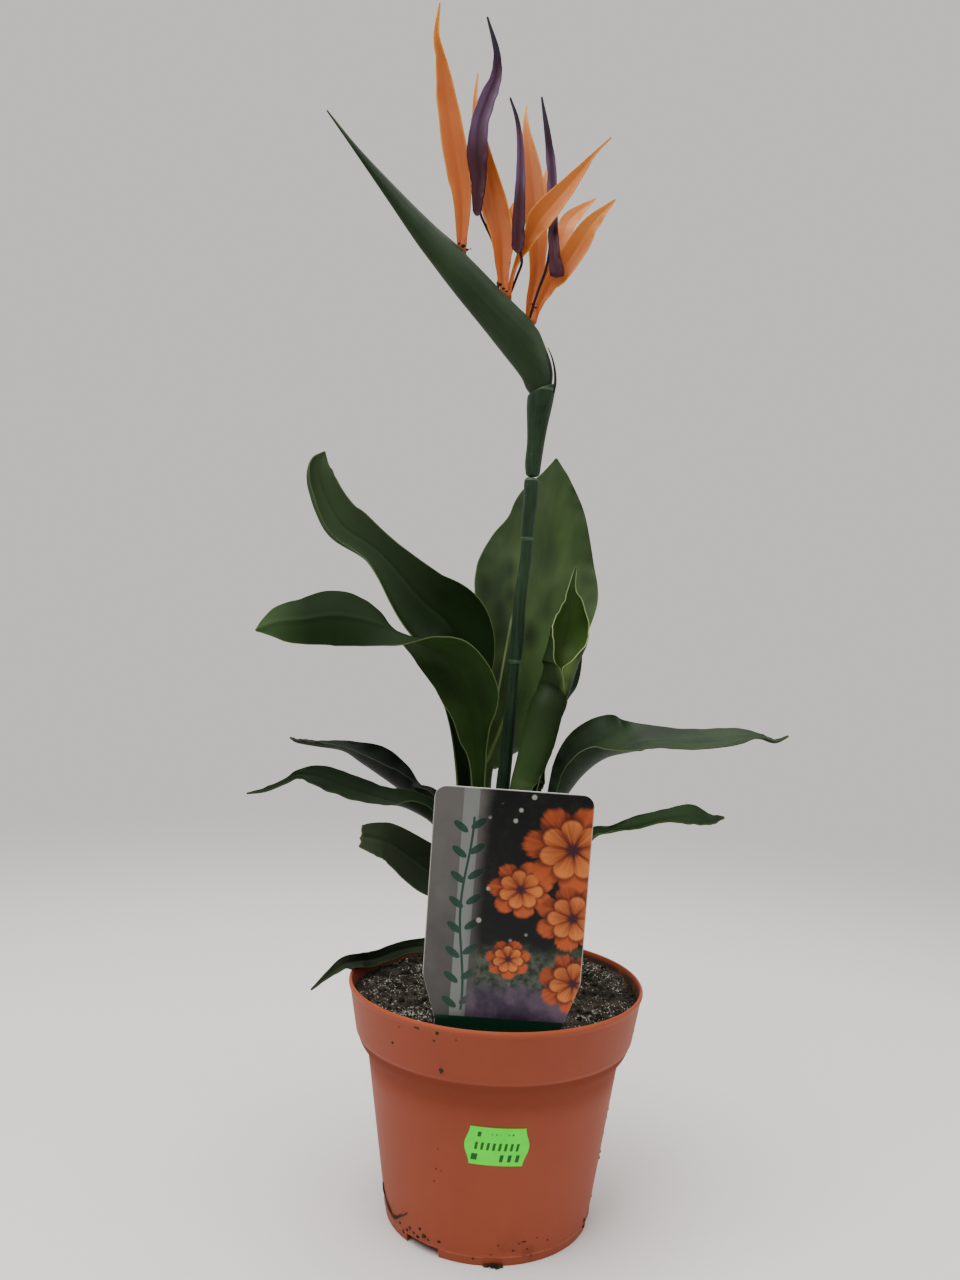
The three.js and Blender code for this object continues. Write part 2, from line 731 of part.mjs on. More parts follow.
// Pot: one closed profile turned round the axis, then foot notches and drain holes.
function potGeometry() {
  const profile = [
    [0, 0],
    [padRadius, 0],
    [padRadius + 0.6, floorUnder],
    [footRadius - footWall + 0.6, floorUnder],
    [footRadius - footWall, 0],
    [footRadius, 0],
    [bodyRadius(footLine - footLineHalf), footLine - footLineHalf],
    [bodyRadius(footLine) + footLineOut, footLine],
    [bodyRadius(footLine + footLineHalf), footLine + footLineHalf],
    [bodyRadius(stepHeight), stepHeight],
    [shoulderRadius, shoulderHeight],
    [collarRadius - 0.5, collarFoot - 0.3],
    [collarRadius + 0.15, collarFoot + 1],
    [lipRadius - lipStep, potHeight - lipBand],
    [lipRadius, potHeight - lipBand + 1],
    [lipRadius + 0.1, potHeight - 1],
    [lipRadius - 0.5, potHeight],
    [lipRadius - wall, potHeight - 0.2],
    [lipRadius - lipStep - wall, potHeight - lipBand],
    [collarRadius - wall + 0.15, collarFoot + 1.4],
    [collarRadius - wall - 0.4, collarFoot + 0.6],
    [bodyRadius(stepHeight) - wall, stepHeight + 0.7],
    [bodyRadius(floorTop) - wall, floorTop],
    [0, floorTop],
  ];
  const turned = new THREE.LatheGeometry(profile.map(([r, z]) => new THREE.Vector2(r, z)), potSides);
  turned.rotateX(Math.PI / 2);
  let solid = toSolid(turned);
  for (const place of notchTurns) {
    const notch = new THREE.BoxGeometry(notchDepth, notchWidth, 2 * notchHeight);
    notch.translate(footRadius + 1.2, 0, 0);
    notch.rotateZ(turn(place));
    solid = solid.subtract(toSolid(notch));
  }
  for (let i = 0; i < drainCount; i += 1) {
    const drain = new THREE.CylinderGeometry(drainRadius, drainRadius, drainLength, 12);
    drain.rotateX(Math.PI / 2);
    drain.translate(drainRing, 0, floorTop - 1);
    drain.rotateZ(2 * Math.PI * (i + 0.5) / drainCount);
    solid = solid.subtract(toSolid(drain));
  }
  return toGeometry(solid);
}

// Soil surface: low swells, and a bank against the wall at the back right.
function soilHeight(x, y) {
  const fade = 1 - Math.min(Math.hypot(x, y) / soilRadius, 1) ** 6;
  const swell = 0.9 * Math.sin(0.11 * x + 0.6) * Math.cos(0.13 * y + 0.3);
  const clods = 0.6 * Math.sin(0.33 * x - 0.27 * y) + 0.4 * Math.cos(0.41 * y + 0.2 * x);
  const bank = soilBank * smooth((Math.hypot(x, y) - 38) / 20) * smooth((y + 25) / 50) * smooth((x + 30) / 30);
  return soilTop + fade * (swell + clods) + bank;
}

// Soil: rings with the height given by a formula, the side a gap clear of the wall.
function soilGeometry() {
  const side = [
    [soilRadius, null],
    [collarRadius - wall + 0.1 - soilGap, collarFoot + 1.4],
    [collarRadius - wall - 0.45 - soilGap, collarFoot + 1],
    [bodyRadius(stepHeight) - wall - soilGap, stepHeight + 1.1],
    [bodyRadius(floorTop) - wall - soilGap, floorTop + soilGap],
  ];
  const points = [new THREE.Vector3(0, 0, soilHeight(0, 0))];
  const radii = [...soilRings.map((r) => [r, null]), ...side];
  for (const [radius, height] of radii) {
    for (let j = 0; j < soilSides; j += 1) {
      const angle = 2 * Math.PI * j / soilSides;
      const x = radius * Math.cos(angle);
      const y = radius * Math.sin(angle);
      points.push(new THREE.Vector3(x, y, height ?? soilHeight(x, y)));
    }
  }
  points.push(new THREE.Vector3(0, 0, floorTop + soilGap));
  const faces = [];
  for (let j = 0; j < soilSides; j += 1) {
    const next = (j + 1) % soilSides;
    faces.push([0, 1 + j, 1 + next]);
    for (let i = 0; i + 1 < radii.length; i += 1) {
      const a = 1 + i * soilSides + j;
      const b = 1 + i * soilSides + next;
      faces.push([a, a + soilSides, b + soilSides], [a, b + soilSides, b]);
    }
    const foot = 1 + (radii.length - 1) * soilSides;
    faces.push([foot + j, points.length - 1, foot + next]);
  }
  return meshFrom(points, faces);
}

// Card: a flat panel with rounded upper corners that narrows to a buried stake.
function cardGeometry(grow) {
  const outline = new THREE.Shape();
  outline.moveTo(-stakeTipHalf - grow, cardDepth - grow);
  outline.lineTo(stakeTipHalf + grow, cardDepth - grow);
  outline.lineTo(stakeHalf + grow, cardDepth + stakeHalf);
  outline.lineTo(cardFootHalf + grow, 0);
  outline.lineTo(cardFootHalf + grow, 4);
  outline.lineTo(cardHalf + grow, cardShoulder);
  outline.lineTo(cardHalf + grow, cardTop - cardCorner);
  outline.absarc(cardHalf - cardCorner + grow, cardTop - cardCorner, cardCorner, 0, Math.PI / 2);
  outline.lineTo(-cardHalf + cardCorner - grow, cardTop);
  outline.absarc(-cardHalf + cardCorner - grow, cardTop - cardCorner, cardCorner, Math.PI / 2, Math.PI);
  outline.lineTo(-cardHalf - grow, cardShoulder);
  outline.lineTo(-cardFootHalf - grow, 4);
  outline.lineTo(-cardFootHalf - grow, 0);
  outline.lineTo(-stakeHalf - grow, cardDepth + stakeHalf);
  const thick = cardThick + 2 * grow;
  const card = new THREE.ExtrudeGeometry(outline, { depth: thick, bevelEnabled: false, curveSegments: 5 });
  card.translate(0, 0, -thick / 2);
  const up = new THREE.Vector3(cardLean[0], cardLean[1], 1).normalize();
  const across = new THREE.Vector3(1, 0, -cardLean[0]).normalize();
  const frame = new THREE.Matrix4().makeBasis(across, up, across.clone().cross(up));
  frame.setPosition(...cardBase);
  card.applyMatrix4(frame);
  return card;
}

// Sticker: bent to the cone of the body, wider at mid height than at its corners.
function stickerGeometry() {
  const wideCells = 12;
  const highCells = 8;
  const slant = turn(-stickerTurn);
  const sheet = (lift) => {
    const points = [];
    for (let i = 0; i <= highCells; i += 1) {
      for (let j = 0; j <= wideCells; j += 1) {
        const v = -1 + 2 * i / highCells;
        const bulge = 0.5 + 0.5 * Math.cos(Math.PI * v);
        const half = (stickerCornerWide + (stickerWide - stickerCornerWide) * bulge) / 2;
        const flatX = (-1 + 2 * j / wideCells) * half;
        const flatZ = v * stickerHigh / 2;
        const s = stickerCentre[0] + flatX * Math.cos(slant) - flatZ * Math.sin(slant);
        const z = stickerCentre[1] + flatX * Math.sin(slant) + flatZ * Math.cos(slant);
        const radius = bodyRadius(z) + lift;
        const angle = -Math.PI / 2 + s / bodyRadius(stickerCentre[1]);
        points.push(new THREE.Vector3(radius * Math.cos(angle), radius * Math.sin(angle), z));
      }
    }
    return points;
  };
  const outer = sheet(stickerGap + stickerThick);
  const inner = sheet(stickerGap);
  const shift = outer.length;
  const wide = wideCells + 1;
  const faces = [];
  const quad = (a, b, c, d) => faces.push([a, b, c], [a, c, d]);
  for (let i = 0; i < highCells; i += 1) {
    for (let j = 0; j < wideCells; j += 1) {
      const a = i * wide + j;
      quad(a, a + 1, a + wide + 1, a + wide);
      const [p, q, r, s] = [a, a + 1, a + wide + 1, a + wide].map((k) => k + shift);
      faces.push([p, r, q], [p, s, r]);
    }
    quad(i * wide, (i + 1) * wide, (i + 1) * wide + shift, i * wide + shift);
    const end = i * wide + wideCells;
    quad(end, end + shift, end + wide + shift, end + wide);
  }
  const top = highCells * wide;
  for (let j = 0; j < wideCells; j += 1) {
    quad(j, j + shift, j + 1 + shift, j + 1);
    quad(top + j, top + j + 1, top + j + 1 + shift, top + j + shift);
  }
  return meshFrom([...outer, ...inner], faces);
}

// Thin round stalk along a path of points.
function filamentGeometry(path, radius) {
  const curve = new THREE.CatmullRomCurve3(path.map((p) => new THREE.Vector3(...p)));
  const steps = 2 * (path.length - 1);
  const rings = [];
  for (let i = 0; i <= steps; i += 1) {
    const middle = curve.getPoint(i / steps);
    const ahead = curve.getTangent(i / steps);
    const one = new THREE.Vector3(0, 1, 0).cross(ahead).normalize();
    const two = ahead.clone().cross(one);
    const ring = [];
    for (let k = 0; k < 6; k += 1) {
      const angle = 2 * Math.PI * k / 6;
      const point = middle.clone().addScaledVector(one, radius * Math.cos(angle));
      ring.push(point.addScaledVector(two, radius * Math.sin(angle)));
    }
    rings.push(ring);
  }
  return ringGeometry(rings);
}

const part = new THREE.Group();
part.name = 'potted_bird_of_paradise';

function addPart(name, geometry, colour, roughness) {
  const flat = geometry.index ? geometry.toNonIndexed() : geometry;
  flat.computeVertexNormals();
  const material = new THREE.MeshStandardMaterial({ color: colours[colour], roughness, metalness: 0 });
  const mesh = new THREE.Mesh(flat, material);
  mesh.name = name;
  part.add(mesh);
}

addPart('pot', potGeometry(), 'pot', 0.5);

const leafSheet = { edge: leafEdge, rib: leafRib, stalkEdge, stalkRib };
let soil = toSolid(soilGeometry());
for (const leaf of Object.values(leaves)) {
  const form = { ...leafSheet, ...leaf };
  const hole = sheetGeometry(form, -0.02, leaf.holeTo, leaf.holeSteps ?? 2, rootGap);
  soil = soil.subtract(toSolid(hole));
}
const [stemX, stemY, stemFoot, stemRadius] = lowerStem[0];
const stemHoleRadius = stemRadius + rootGap;
const stemHole = [stemFoot - 2 * rootGap + 0.2, soilTop, soilTop + 6].map((z) => (
  ellipseRing([stemX, stemY, z, stemHoleRadius, stemHoleRadius], stemSides)
));
soil = soil.subtract(toSolid(ringGeometry(stemHole)));
soil = soil.subtract(toSolid(cardGeometry(rootGap)));
addPart('soil', toGeometry(soil), 'soil', 0.95);

addPart('plant_label', cardGeometry(0), 'card', 0.35);
addPart('price_sticker', stickerGeometry(), 'sticker', 0.5);

addPart('stem_lower', ringGeometry(lowerStem.map((ring) => ellipseRing(ring, stemSides))), 'stem', 0.5);
addPart('stem_upper', ringGeometry(upperStem.map((ring) => ellipseRing(ring, spatheSides))), 'stem', 0.5);

const beak = toSolid(ringGeometry(spatheRings.map((ring) => ellipseRing(ring, spatheSides))));
const slot = toSolid(ringGeometry(slotRings.map((ring) => ellipseRing(ring, 10))));
addPart('spathe', toGeometry(beak.subtract(slot)), 'spathe', 0.45);

const sepalSheet = {
  edge: sepalEdge,
  rib: sepalRib,
  stalkEdge: sepalEdge,
  stalkRib: sepalRib,
  stalkEnd: 0,
  across: 4,
};
const sepalCells = 9;
for (const [name, group] of Object.entries(sepals)) {
  let floret = toSolid(ringGeometry(stubs[name].map((ring) => ellipseRing(ring, 8))));
  for (const rows of group) {
    const sepal = sheetGeometry({ ...sepalSheet, rows }, 0, rows.length - 1, sepalCells, 0);
    floret = floret.add(toSolid(sepal));
  }
  for (const { stalk } of Object.values(tongues)) {
    const [x, y, z] = stalk[0];
    const hole = [[x, y, z - 0.5], ...stalk];
    floret = floret.subtract(toSolid(filamentGeometry(hole, filamentRadius + rootGap)));
  }
  addPart(name, toGeometry(floret), 'sepal', 0.55);
}

const tongueSheet = {
  edge: tongueEdge,
  rib: tongueRib,
  stalkEdge: tongueEdge,
  stalkRib: tongueRib,
  stalkEnd: 0,
  across: 4,
};
const tongueCells = 10;
for (const [name, { rows, stalk }] of Object.entries(tongues)) {
  const blade = toSolid(sheetGeometry({ ...tongueSheet, rows }, 0, rows.length - 1, tongueCells, 0));
  const joined = blade.add(toSolid(filamentGeometry(stalk, filamentRadius)));
  addPart(name, toGeometry(joined), 'tongue', 0.5);
}

for (const [name, leaf] of Object.entries(leaves)) {
  const form = { ...leafSheet, ...leaf };
  addPart(name, sheetGeometry(form, 0, leaf.rows.length - 1, leaf.along, 0), leaf.colour, 0.5);
}

export default part;
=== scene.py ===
import math

import bmesh
import bpy
import numpy as np
from mathutils import Matrix, Vector, noise


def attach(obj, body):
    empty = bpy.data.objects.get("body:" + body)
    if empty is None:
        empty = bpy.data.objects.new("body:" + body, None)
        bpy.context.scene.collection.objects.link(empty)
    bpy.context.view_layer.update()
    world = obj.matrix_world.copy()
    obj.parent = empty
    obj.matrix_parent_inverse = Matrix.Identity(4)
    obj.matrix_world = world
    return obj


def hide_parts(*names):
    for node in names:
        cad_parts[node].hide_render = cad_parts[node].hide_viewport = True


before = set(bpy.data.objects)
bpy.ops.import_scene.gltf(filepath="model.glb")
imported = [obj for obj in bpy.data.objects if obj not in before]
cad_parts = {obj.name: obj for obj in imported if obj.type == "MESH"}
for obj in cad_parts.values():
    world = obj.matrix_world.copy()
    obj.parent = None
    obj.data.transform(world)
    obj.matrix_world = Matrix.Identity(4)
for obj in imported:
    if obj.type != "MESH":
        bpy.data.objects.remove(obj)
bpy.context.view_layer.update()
mm = 0.001
print("frame loaded:", len(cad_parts), "nodes")


def tint(red, green, blue):  # screen colour 0-255 to a linear colour
    def linear(value):
        value = value / 255
        return value / 12.92 if value <= 0.04045 else ((value + 0.055) / 1.055) ** 2.4

    return (linear(red), linear(green), linear(blue), 1.0)


class Wire:  # a socket that adds its Math nodes when it is calculated with
    def __init__(self, finish, socket):
        self.finish = finish
        self.socket = socket

    def sum(self, kind, other, flip=False):
        pair = (other, self) if flip else (self, other)
        return self.finish.add("ShaderNodeMath", {"operation": kind}, {0: pair[0], 1: pair[1]})

    def __add__(self, other):
        return self.sum("ADD", other)

    def __radd__(self, other):
        return self.sum("ADD", other, True)

    def __sub__(self, other):
        return self.sum("SUBTRACT", other)

    def __rsub__(self, other):
        return self.sum("SUBTRACT", other, True)

    def __mul__(self, other):
        return self.sum("MULTIPLY", other)

    def __rmul__(self, other):
        return self.sum("MULTIPLY", other, True)

    def __truediv__(self, other):
        return self.sum("DIVIDE", other)

    def __rtruediv__(self, other):
        return self.sum("DIVIDE", other, True)

    def __pow__(self, other):
        return self.sum("POWER", other)

    def __abs__(self):
        return self.sum("ABSOLUTE", 0)

    def fraction(self):
        return self.sum("FRACT", 0)

    def most(self, other):
        return self.sum("MAXIMUM", other)

    def sine(self):
        return self.sum("SINE", 0)

    def step(self, low, high, start=0.0, end=1.0):  # soft step from start at low to end at high
        settings = {"interpolation_type": "SMOOTHSTEP"}
        places = {0: self, 1: low, 2: high, 3: start, 4: end}
        return self.finish.add("ShaderNodeMapRange", settings, places)


class Nodes:
    def __init__(self, tree):
        self.tree = tree

    def add(self, kind, settings=None, feeds=None, out=0):
        node = self.tree.nodes.new(kind)
        for key, value in (settings or {}).items():
            setattr(node, key, value)
        for key, value in (feeds or {}).items():
            self.feed(node.inputs[key], value)
        return Wire(self, node.outputs[out])

    def feed(self, socket, value):
        if isinstance(value, Wire):
            self.tree.links.new(value.socket, socket)
        else:
            socket.default_value = value

    def mix(self, first, second, amount):
        feeds = {0: amount, 6: first, 7: second}
        return self.add("ShaderNodeMix", {"data_type": "RGBA"}, feeds, out=2)

    def noise(self, scale, detail, place=None):
        feeds = {"Scale": scale, "Detail": detail, "Roughness": 0.55, "Vector": place or self.place()}
        return self.add("ShaderNodeTexNoise", {}, feeds)

    def place(self):
        return self.add("ShaderNodeTexCoord", out="Object")

    def flatPlace(self):  # across and up the piece's own UV map, 0 to 1
        return self.split(self.add("ShaderNodeTexCoord", out="UV"))[:2]

    def split(self, vector):
        node = self.add("ShaderNodeSeparateXYZ", {}, {0: vector}).socket.node
        return [Wire(self, socket) for socket in node.outputs]

    def join(self, x, y, z=0.0):
        return self.add("ShaderNodeCombineXYZ", {}, {0: x, 1: y, 2: z})

    def mottle(self, first, second, amount, low=0.35, high=0.65):  # two tones in soft patches
        return self.mix(first, second, amount.step(low, high))

    def attribute(self, name):
        return self.add("ShaderNodeAttribute", {"attribute_name": name}, out="Vector")


class Finish(Nodes):  # a material; what is the same all over is set on its shader
    def __init__(self, name, rough, specular=0.5):
        self.material = bpy.data.materials.new(name)
        self.material.use_nodes = True
        super().__init__(self.material.node_tree)
        self.shader = self.tree.nodes["Principled BSDF"]
        self.shader.inputs["Roughness"].default_value = rough
        self.shader.inputs["Specular IOR Level"].default_value = specular

    def bump(self, height, distance, strength):
        feeds = {"Height": height, "Distance": distance, "Strength": strength}
        self.feed(self.shader.inputs["Normal"], self.add("ShaderNodeBump", {}, feeds))

    def use(self, colour, rough=None):
        self.feed(self.shader.inputs["Base Color"], colour)
        if rough is not None:
            self.feed(self.shader.inputs["Roughness"], rough)
        return self.material


def meshPiece(name, points, faces, material, fields=None, sharpAngle=50, uv=None):
    mesh = bpy.data.meshes.new(name)
    mesh.from_pydata([tuple(p) for p in points], [], [tuple(f) for f in faces])
    for key, values in (fields or {}).items():
        layer = mesh.attributes.new(key, "FLOAT_VECTOR", "POINT")
        layer.data.foreach_set("vector", np.asarray(values, np.float32).ravel())
    if uv is not None:
        layer = mesh.uv_layers.new(name="UVMap")
        for loop in mesh.loops:
            layer.data[loop.index].uv = uv[loop.vertex_index]
    mesh.materials.append(material)
    mesh.polygons.foreach_set("use_smooth", [True] * len(mesh.polygons))
    mesh.set_sharp_from_angle(angle=math.radians(sharpAngle))
    mesh.update()
    return placed(name, mesh)


def placed(name, data):
    piece = bpy.data.objects.new(name, data)
    bpy.context.scene.collection.objects.link(piece)
    return piece


def outward(points, faces):  # turns all faces when the closed form is inside out
    solid = np.asarray(points)
    volume = 0.0
    for face in faces:
        for i in range(1, len(face) - 1):
            a, b, c = solid[face[0]], solid[face[i]], solid[face[i + 1]]
            volume += a @ np.cross(b, c)
    return faces if volume > 0 else [face[::-1] for face in faces]


def keep(piece, slot, *nodes):
    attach(piece, "root")
    if nodes:
        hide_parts(*nodes)


def rowsAt(rows, at):
    table = np.zeros((len(rows), 8))
    for i, row in enumerate(rows):
        table[i, : len(row)] = row
    last = len(rows) - 1
    i = np.clip(np.floor(at).astype(int), 0, last - 1)
    f = (at - i)[:, None]
    b, c = table[i], table[i + 1]
    a = np.where((i > 0)[:, None], table[np.maximum(i - 1, 0)], 2 * b - c)
    d = np.where((i < last - 1)[:, None], table[np.minimum(i + 2, last)], 2 * c - b)
    bend = (2 * a - 5 * b + 4 * c - d) * f**2 + (3 * b - a - 3 * c + d) * f**3
    return 0.5 * (2 * b + (c - a) * f + bend)


def unit(vectors):
    return vectors / np.linalg.norm(vectors, axis=-1, keepdims=True)


def smooth(value):
    value = np.clip(value, 0, 1)
    return value * value * (3 - 2 * value)


sheetRule = {  # what all blades share, in millimetres and shares
    "bendSteps": 8,
    "crowd": 1.25,  # draws the columns towards the midrib
    "leastHalf": 0.3,
    "grooveHalf": 0.8,
    "keelHalf": 1.1,
    "pointHalf": 2.4,  # narrower ends get thinner
    "waveRate": 2.6,
    "waveSides": 7,
    "biteRate": 0.14,
    "biteRows": 7,
}


def sheet(form, rows):  # closed blade: x, y, z, half width, roll, curl, curl of left and right margin
    rule = sheetRule
    along, across = form["along"], form["across"]
    last = len(rows) - 1
    at = np.linspace(0, last, along + 1)
    row = rowsAt(rows, at)
    ahead = unit(rowsAt(rows, at + 0.001)[:, :3] - rowsAt(rows, at - 0.001)[:, :3])
    side = unit(np.cross([0.0, 1.0, 0.0], ahead))
    face = np.cross(side, ahead)
    roll = np.radians(row[:, 4:5])
    way = side * np.cos(roll) + face * np.sin(roll)
    up = face * np.cos(roll) - side * np.sin(roll)
    spread = np.linspace(-1, 1, across + 1)
    t = np.sign(spread) * np.abs(spread) ** rule["crowd"]
    sign = np.where(t < 0, -1.0, 1.0)
    edgeCurl = np.where(t[None] < 0, row[:, 6:7], row[:, 7:8])
    steps = rule["bendSteps"]
    out = np.zeros((along + 1, across + 1))
    rise = np.zeros_like(out)
    for k in range(steps):
        q = (k + 0.5) / steps * np.abs(t)
        angle = np.radians(row[:, 5:6] * q + edgeCurl * q**4)
        out += np.cos(angle) * np.abs(t) / steps
        rise += np.sin(angle) * np.abs(t) / steps
    reach = np.abs(t)
    angle = np.radians(row[:, 5:6] * reach + edgeCurl * reach**4)
    width = np.maximum(row[:, 3:4], rule["leastHalf"]) * np.ones_like(out)
    for place, where, extra, size in form.get("bumps", []):
        width += (sign == where) * extra * np.exp(-(((at[:, None] - place) / size) ** 2))
    blade = smooth((at - form["stalkEnd"] + 1.2) / 1.6)[:, None]
    edge = form["stalkEdge"] + (form["edge"] - form["stalkEdge"]) * blade
    rib = form["stalkRib"] + (form["rib"] - form["stalkRib"]) * blade
    lateral = width * reach
    groove = form["groove"] * blade * np.exp(-((lateral / rule["grooveHalf"]) ** 2))
    keel = form["keel"] * blade * np.exp(-((lateral / rule["keelHalf"]) ** 2))
    thick = edge + (rib - edge) * (1 - t**2) ** (1 + 1.5 * blade)
    narrow = smooth(row[:, 3:4] / rule["pointHalf"]) * blade + 1 - blade
    thick = thick * (0.35 + 0.65 * narrow)
    groove = groove * narrow
    middle = row[:, None, :3]
    place = middle + way[:, None] * (width * out * sign)[..., None] + up[:, None] * (width * rise)[..., None]
    normal = up[:, None] * np.cos(angle)[..., None] - way[:, None] * (np.sin(angle) * sign)[..., None]
    ripple = form["ripple"] * blade * reach**3 * narrow
    for i in range(along + 1):
        for j in (*range(0, 4), *range(across - 3, across + 1)):
            spot = Vector((at[i] * rule["waveRate"], sign[j] * rule["waveSides"], form["seed"]))
            place[i, j] += normal[i, j] * ripple[i, j] * noise.noise(spot)
    cut = form.get("cut", 0)
    if cut:  # ragged end
        back = smooth((np.arange(along + 1) - along) / rule["biteRows"] + 1)
        for j in range(across + 1):
            bite = cut * (0.5 + noise.noise(Vector((j * rule["biteRate"], 3.1, 0.7))))
            place[:, j] -= ahead * (back * bite)[:, None]
    upper = place - normal * groove[..., None]
    lower = place - normal * (thick + keel)[..., None]
    points = np.concatenate([upper.reshape(-1, 3), lower.reshape(-1, 3)]) * mm
    length = np.concatenate([[0], np.cumsum(np.linalg.norm(np.diff(row[:, :3], axis=0), axis=1))])
    ones = np.ones_like(out)
    bladeField = np.stack([length[:, None] * ones, t[None] * ones, width], -1)
    placeField = np.stack([at[:, None] / last * ones, 0 * ones, blade * ones], -1)
    underField = placeField + np.array([0, 1.0, 0])
    fields = {
        "blade": np.concatenate([bladeField.reshape(-1, 3)] * 2),
        "place": np.concatenate([placeField.reshape(-1, 3), underField.reshape(-1, 3)]),
    }
    return points, outward(points, doubleFaces(along, across)), fields


def doubleFaces(along, across):  # two grids of points, one behind the other, closed round their edge
    wide, shift = across + 1, (along + 1) * (across + 1)
    faces = []
    for i in range(along):
        for j in range(across):
            a = i * wide + j
            faces.append((a, a + 1, a + wide + 1, a + wide))
            faces.append((a + shift, a + wide + shift, a + wide + 1 + shift, a + 1 + shift))
        left, right = i * wide, i * wide + across
        faces.append((left, left + wide, left + wide + shift, left + shift))
        faces.append((right, right + shift, right + wide + shift, right + wide))
    end = along * wide
    for j in range(across):
        faces.append((j, j + shift, j + 1 + shift, j + 1))
        faces.append((end + j, end + j + 1, end + j + 1 + shift, end + j + shift))
    return faces


def tube(path, radii, sides=12, samples=6):  # smooth round member through the points
    rows = np.array([[*p, r] for p, r in zip(path, radii)], float)
    at = np.linspace(0, len(rows) - 1, samples * (len(rows) - 1) + 1)
    line = rowsAt(rows, at)
    ahead = unit(rowsAt(rows, at + 0.01)[:, :3] - rowsAt(rows, at - 0.01)[:, :3])
    one = unit(np.cross([0.0, 1.0, 0.001], ahead))
    two = np.cross(ahead, one)
    rings = []
    for k in range(sides):
        turn = 2 * math.pi * k / sides
        rings.append(line[:, :3] + (one * math.cos(turn) + two * math.sin(turn)) * line[:, 3:4])
    return ringBody(np.stack(rings, 1) * mm)


def ringBody(grid):  # closed member from a grid of rings
    count, sides = grid.shape[:2]
    points = list(grid.reshape(-1, 3))
    faces = []
    for i in range(count - 1):
        for j in range(sides):
            a, b = i * sides + j, i * sides + (j + 1) % sides
            faces.append((a, b, b + sides, a + sides))
    faces.append(tuple(range(sides - 1, -1, -1)))
    faces.append(tuple(range((count - 1) * sides, count * sides)))
    points = np.array(points)
    empty = np.zeros((len(points), 3))
    return points, outward(points, faces), {"blade": empty, "place": empty}


def together(*chunks):
    points, faces, fields = [], [], {}
    start = 0
    for chunkPoints, chunkFaces, chunkFields in chunks:
        points.append(chunkPoints)
        faces += [tuple(i + start for i in face) for face in chunkFaces]
        for key, values in chunkFields.items():
            fields.setdefault(key, []).append(values)
        start += len(chunkPoints)
    return np.concatenate(points), faces, {key: np.concatenate(values) for key, values in fields.items()}


class Tree:  # a geometry node tree with named inputs
    def __init__(self, name):
        self.group = bpy.data.node_groups.new(name, "GeometryNodeTree")
        self.group.interface.new_socket("Geometry", in_out="INPUT", socket_type="NodeSocketGeometry")
        self.group.interface.new_socket("Geometry", in_out="OUTPUT", socket_type="NodeSocketGeometry")
        self.start = self.group.nodes.new("NodeGroupInput")
        self.ending = self.group.nodes.new("NodeGroupOutput")
        self.keys = {}

    def input(self, name, kind, value=None):
        socket = self.group.interface.new_socket(name, in_out="INPUT", socket_type=kind)
        if value is not None:
            socket.default_value = value
        self.keys[name] = socket.identifier
        return self.start.outputs[name]

    def add(self, kind, settings=None, feeds=None, out=0):
        node = self.group.nodes.new(kind)
        for key, value in (settings or {}).items():
            setattr(node, key, value)
        for key, value in (feeds or {}).items():
            if isinstance(value, bpy.types.NodeSocket):
                self.group.links.new(value, node.inputs[key])
            else:
                node.inputs[key].default_value = value
        return node.outputs[out]

    def close(self, geometry, material):
        real = self.add("GeometryNodeRealizeInstances", {}, {0: geometry})
        done = self.add("GeometryNodeSetMaterial", {}, {0: real, "Material": material})
        self.group.links.new(done, self.ending.inputs[0])

    def run(self, base, name, values):
        modifier = base.modifiers.new("nodes", "NODES")
        modifier.node_group = self.group
        for key, value in values.items():
            modifier[self.keys[key]] = value
        shape = base.evaluated_get(bpy.context.evaluated_depsgraph_get())
        mesh = bpy.data.meshes.new_from_object(shape)
        base.modifiers.remove(modifier)
        mesh.name = name
        return placed(name, mesh)


def scatterTree():  # grains on a surface
    tree = Tree("scatterGrains")
    density = tree.input("Grains per square metre", "NodeSocketFloat", 1000.0)
    smallest = tree.input("Smallest", "NodeSocketFloat", 0.5)
    largest = tree.input("Largest", "NodeSocketFloat", 1.5)
    grain = tree.input("Grain", "NodeSocketObject")
    seed = tree.input("Seed", "NodeSocketInt", 1)
    material = tree.input("Material", "NodeSocketMaterial")
    spread = tree.add("GeometryNodeInputNamedAttribute", {"data_type": "FLOAT"}, {"Name": "spread"})
    amount = tree.add("ShaderNodeMath", {"operation": "MULTIPLY"}, {0: density, 1: spread})
    feeds = {"Mesh": tree.start.outputs[0], "Density": amount, "Seed": seed}
    points = tree.add("GeometryNodeDistributePointsOnFaces", {}, feeds)
    feeds = {0: (0, 0, 0), 1: (6.283, 6.283, 6.283), "Seed": seed}
    turn = tree.add("FunctionNodeRandomValue", {"data_type": "FLOAT_VECTOR"}, feeds)
    even = tree.add("FunctionNodeRandomValue", {"data_type": "FLOAT"}, {2: 0.0, 3: 1.0, "Seed": seed}, out=1)
    skew = tree.add("ShaderNodeMath", {"operation": "POWER"}, {0: even, 1: 2.2})  # mostly small ones
    size = tree.add("ShaderNodeMapRange", {}, {"Value": skew, 3: smallest, 4: largest})
    shape = tree.add("GeometryNodeObjectInfo", {}, {"Object": grain}, out="Geometry")
    feeds = {"Points": points, "Instance": shape, "Rotation": turn, "Scale": size}
    tree.close(tree.add("GeometryNodeInstanceOnPoints", {}, feeds), material)
    return tree


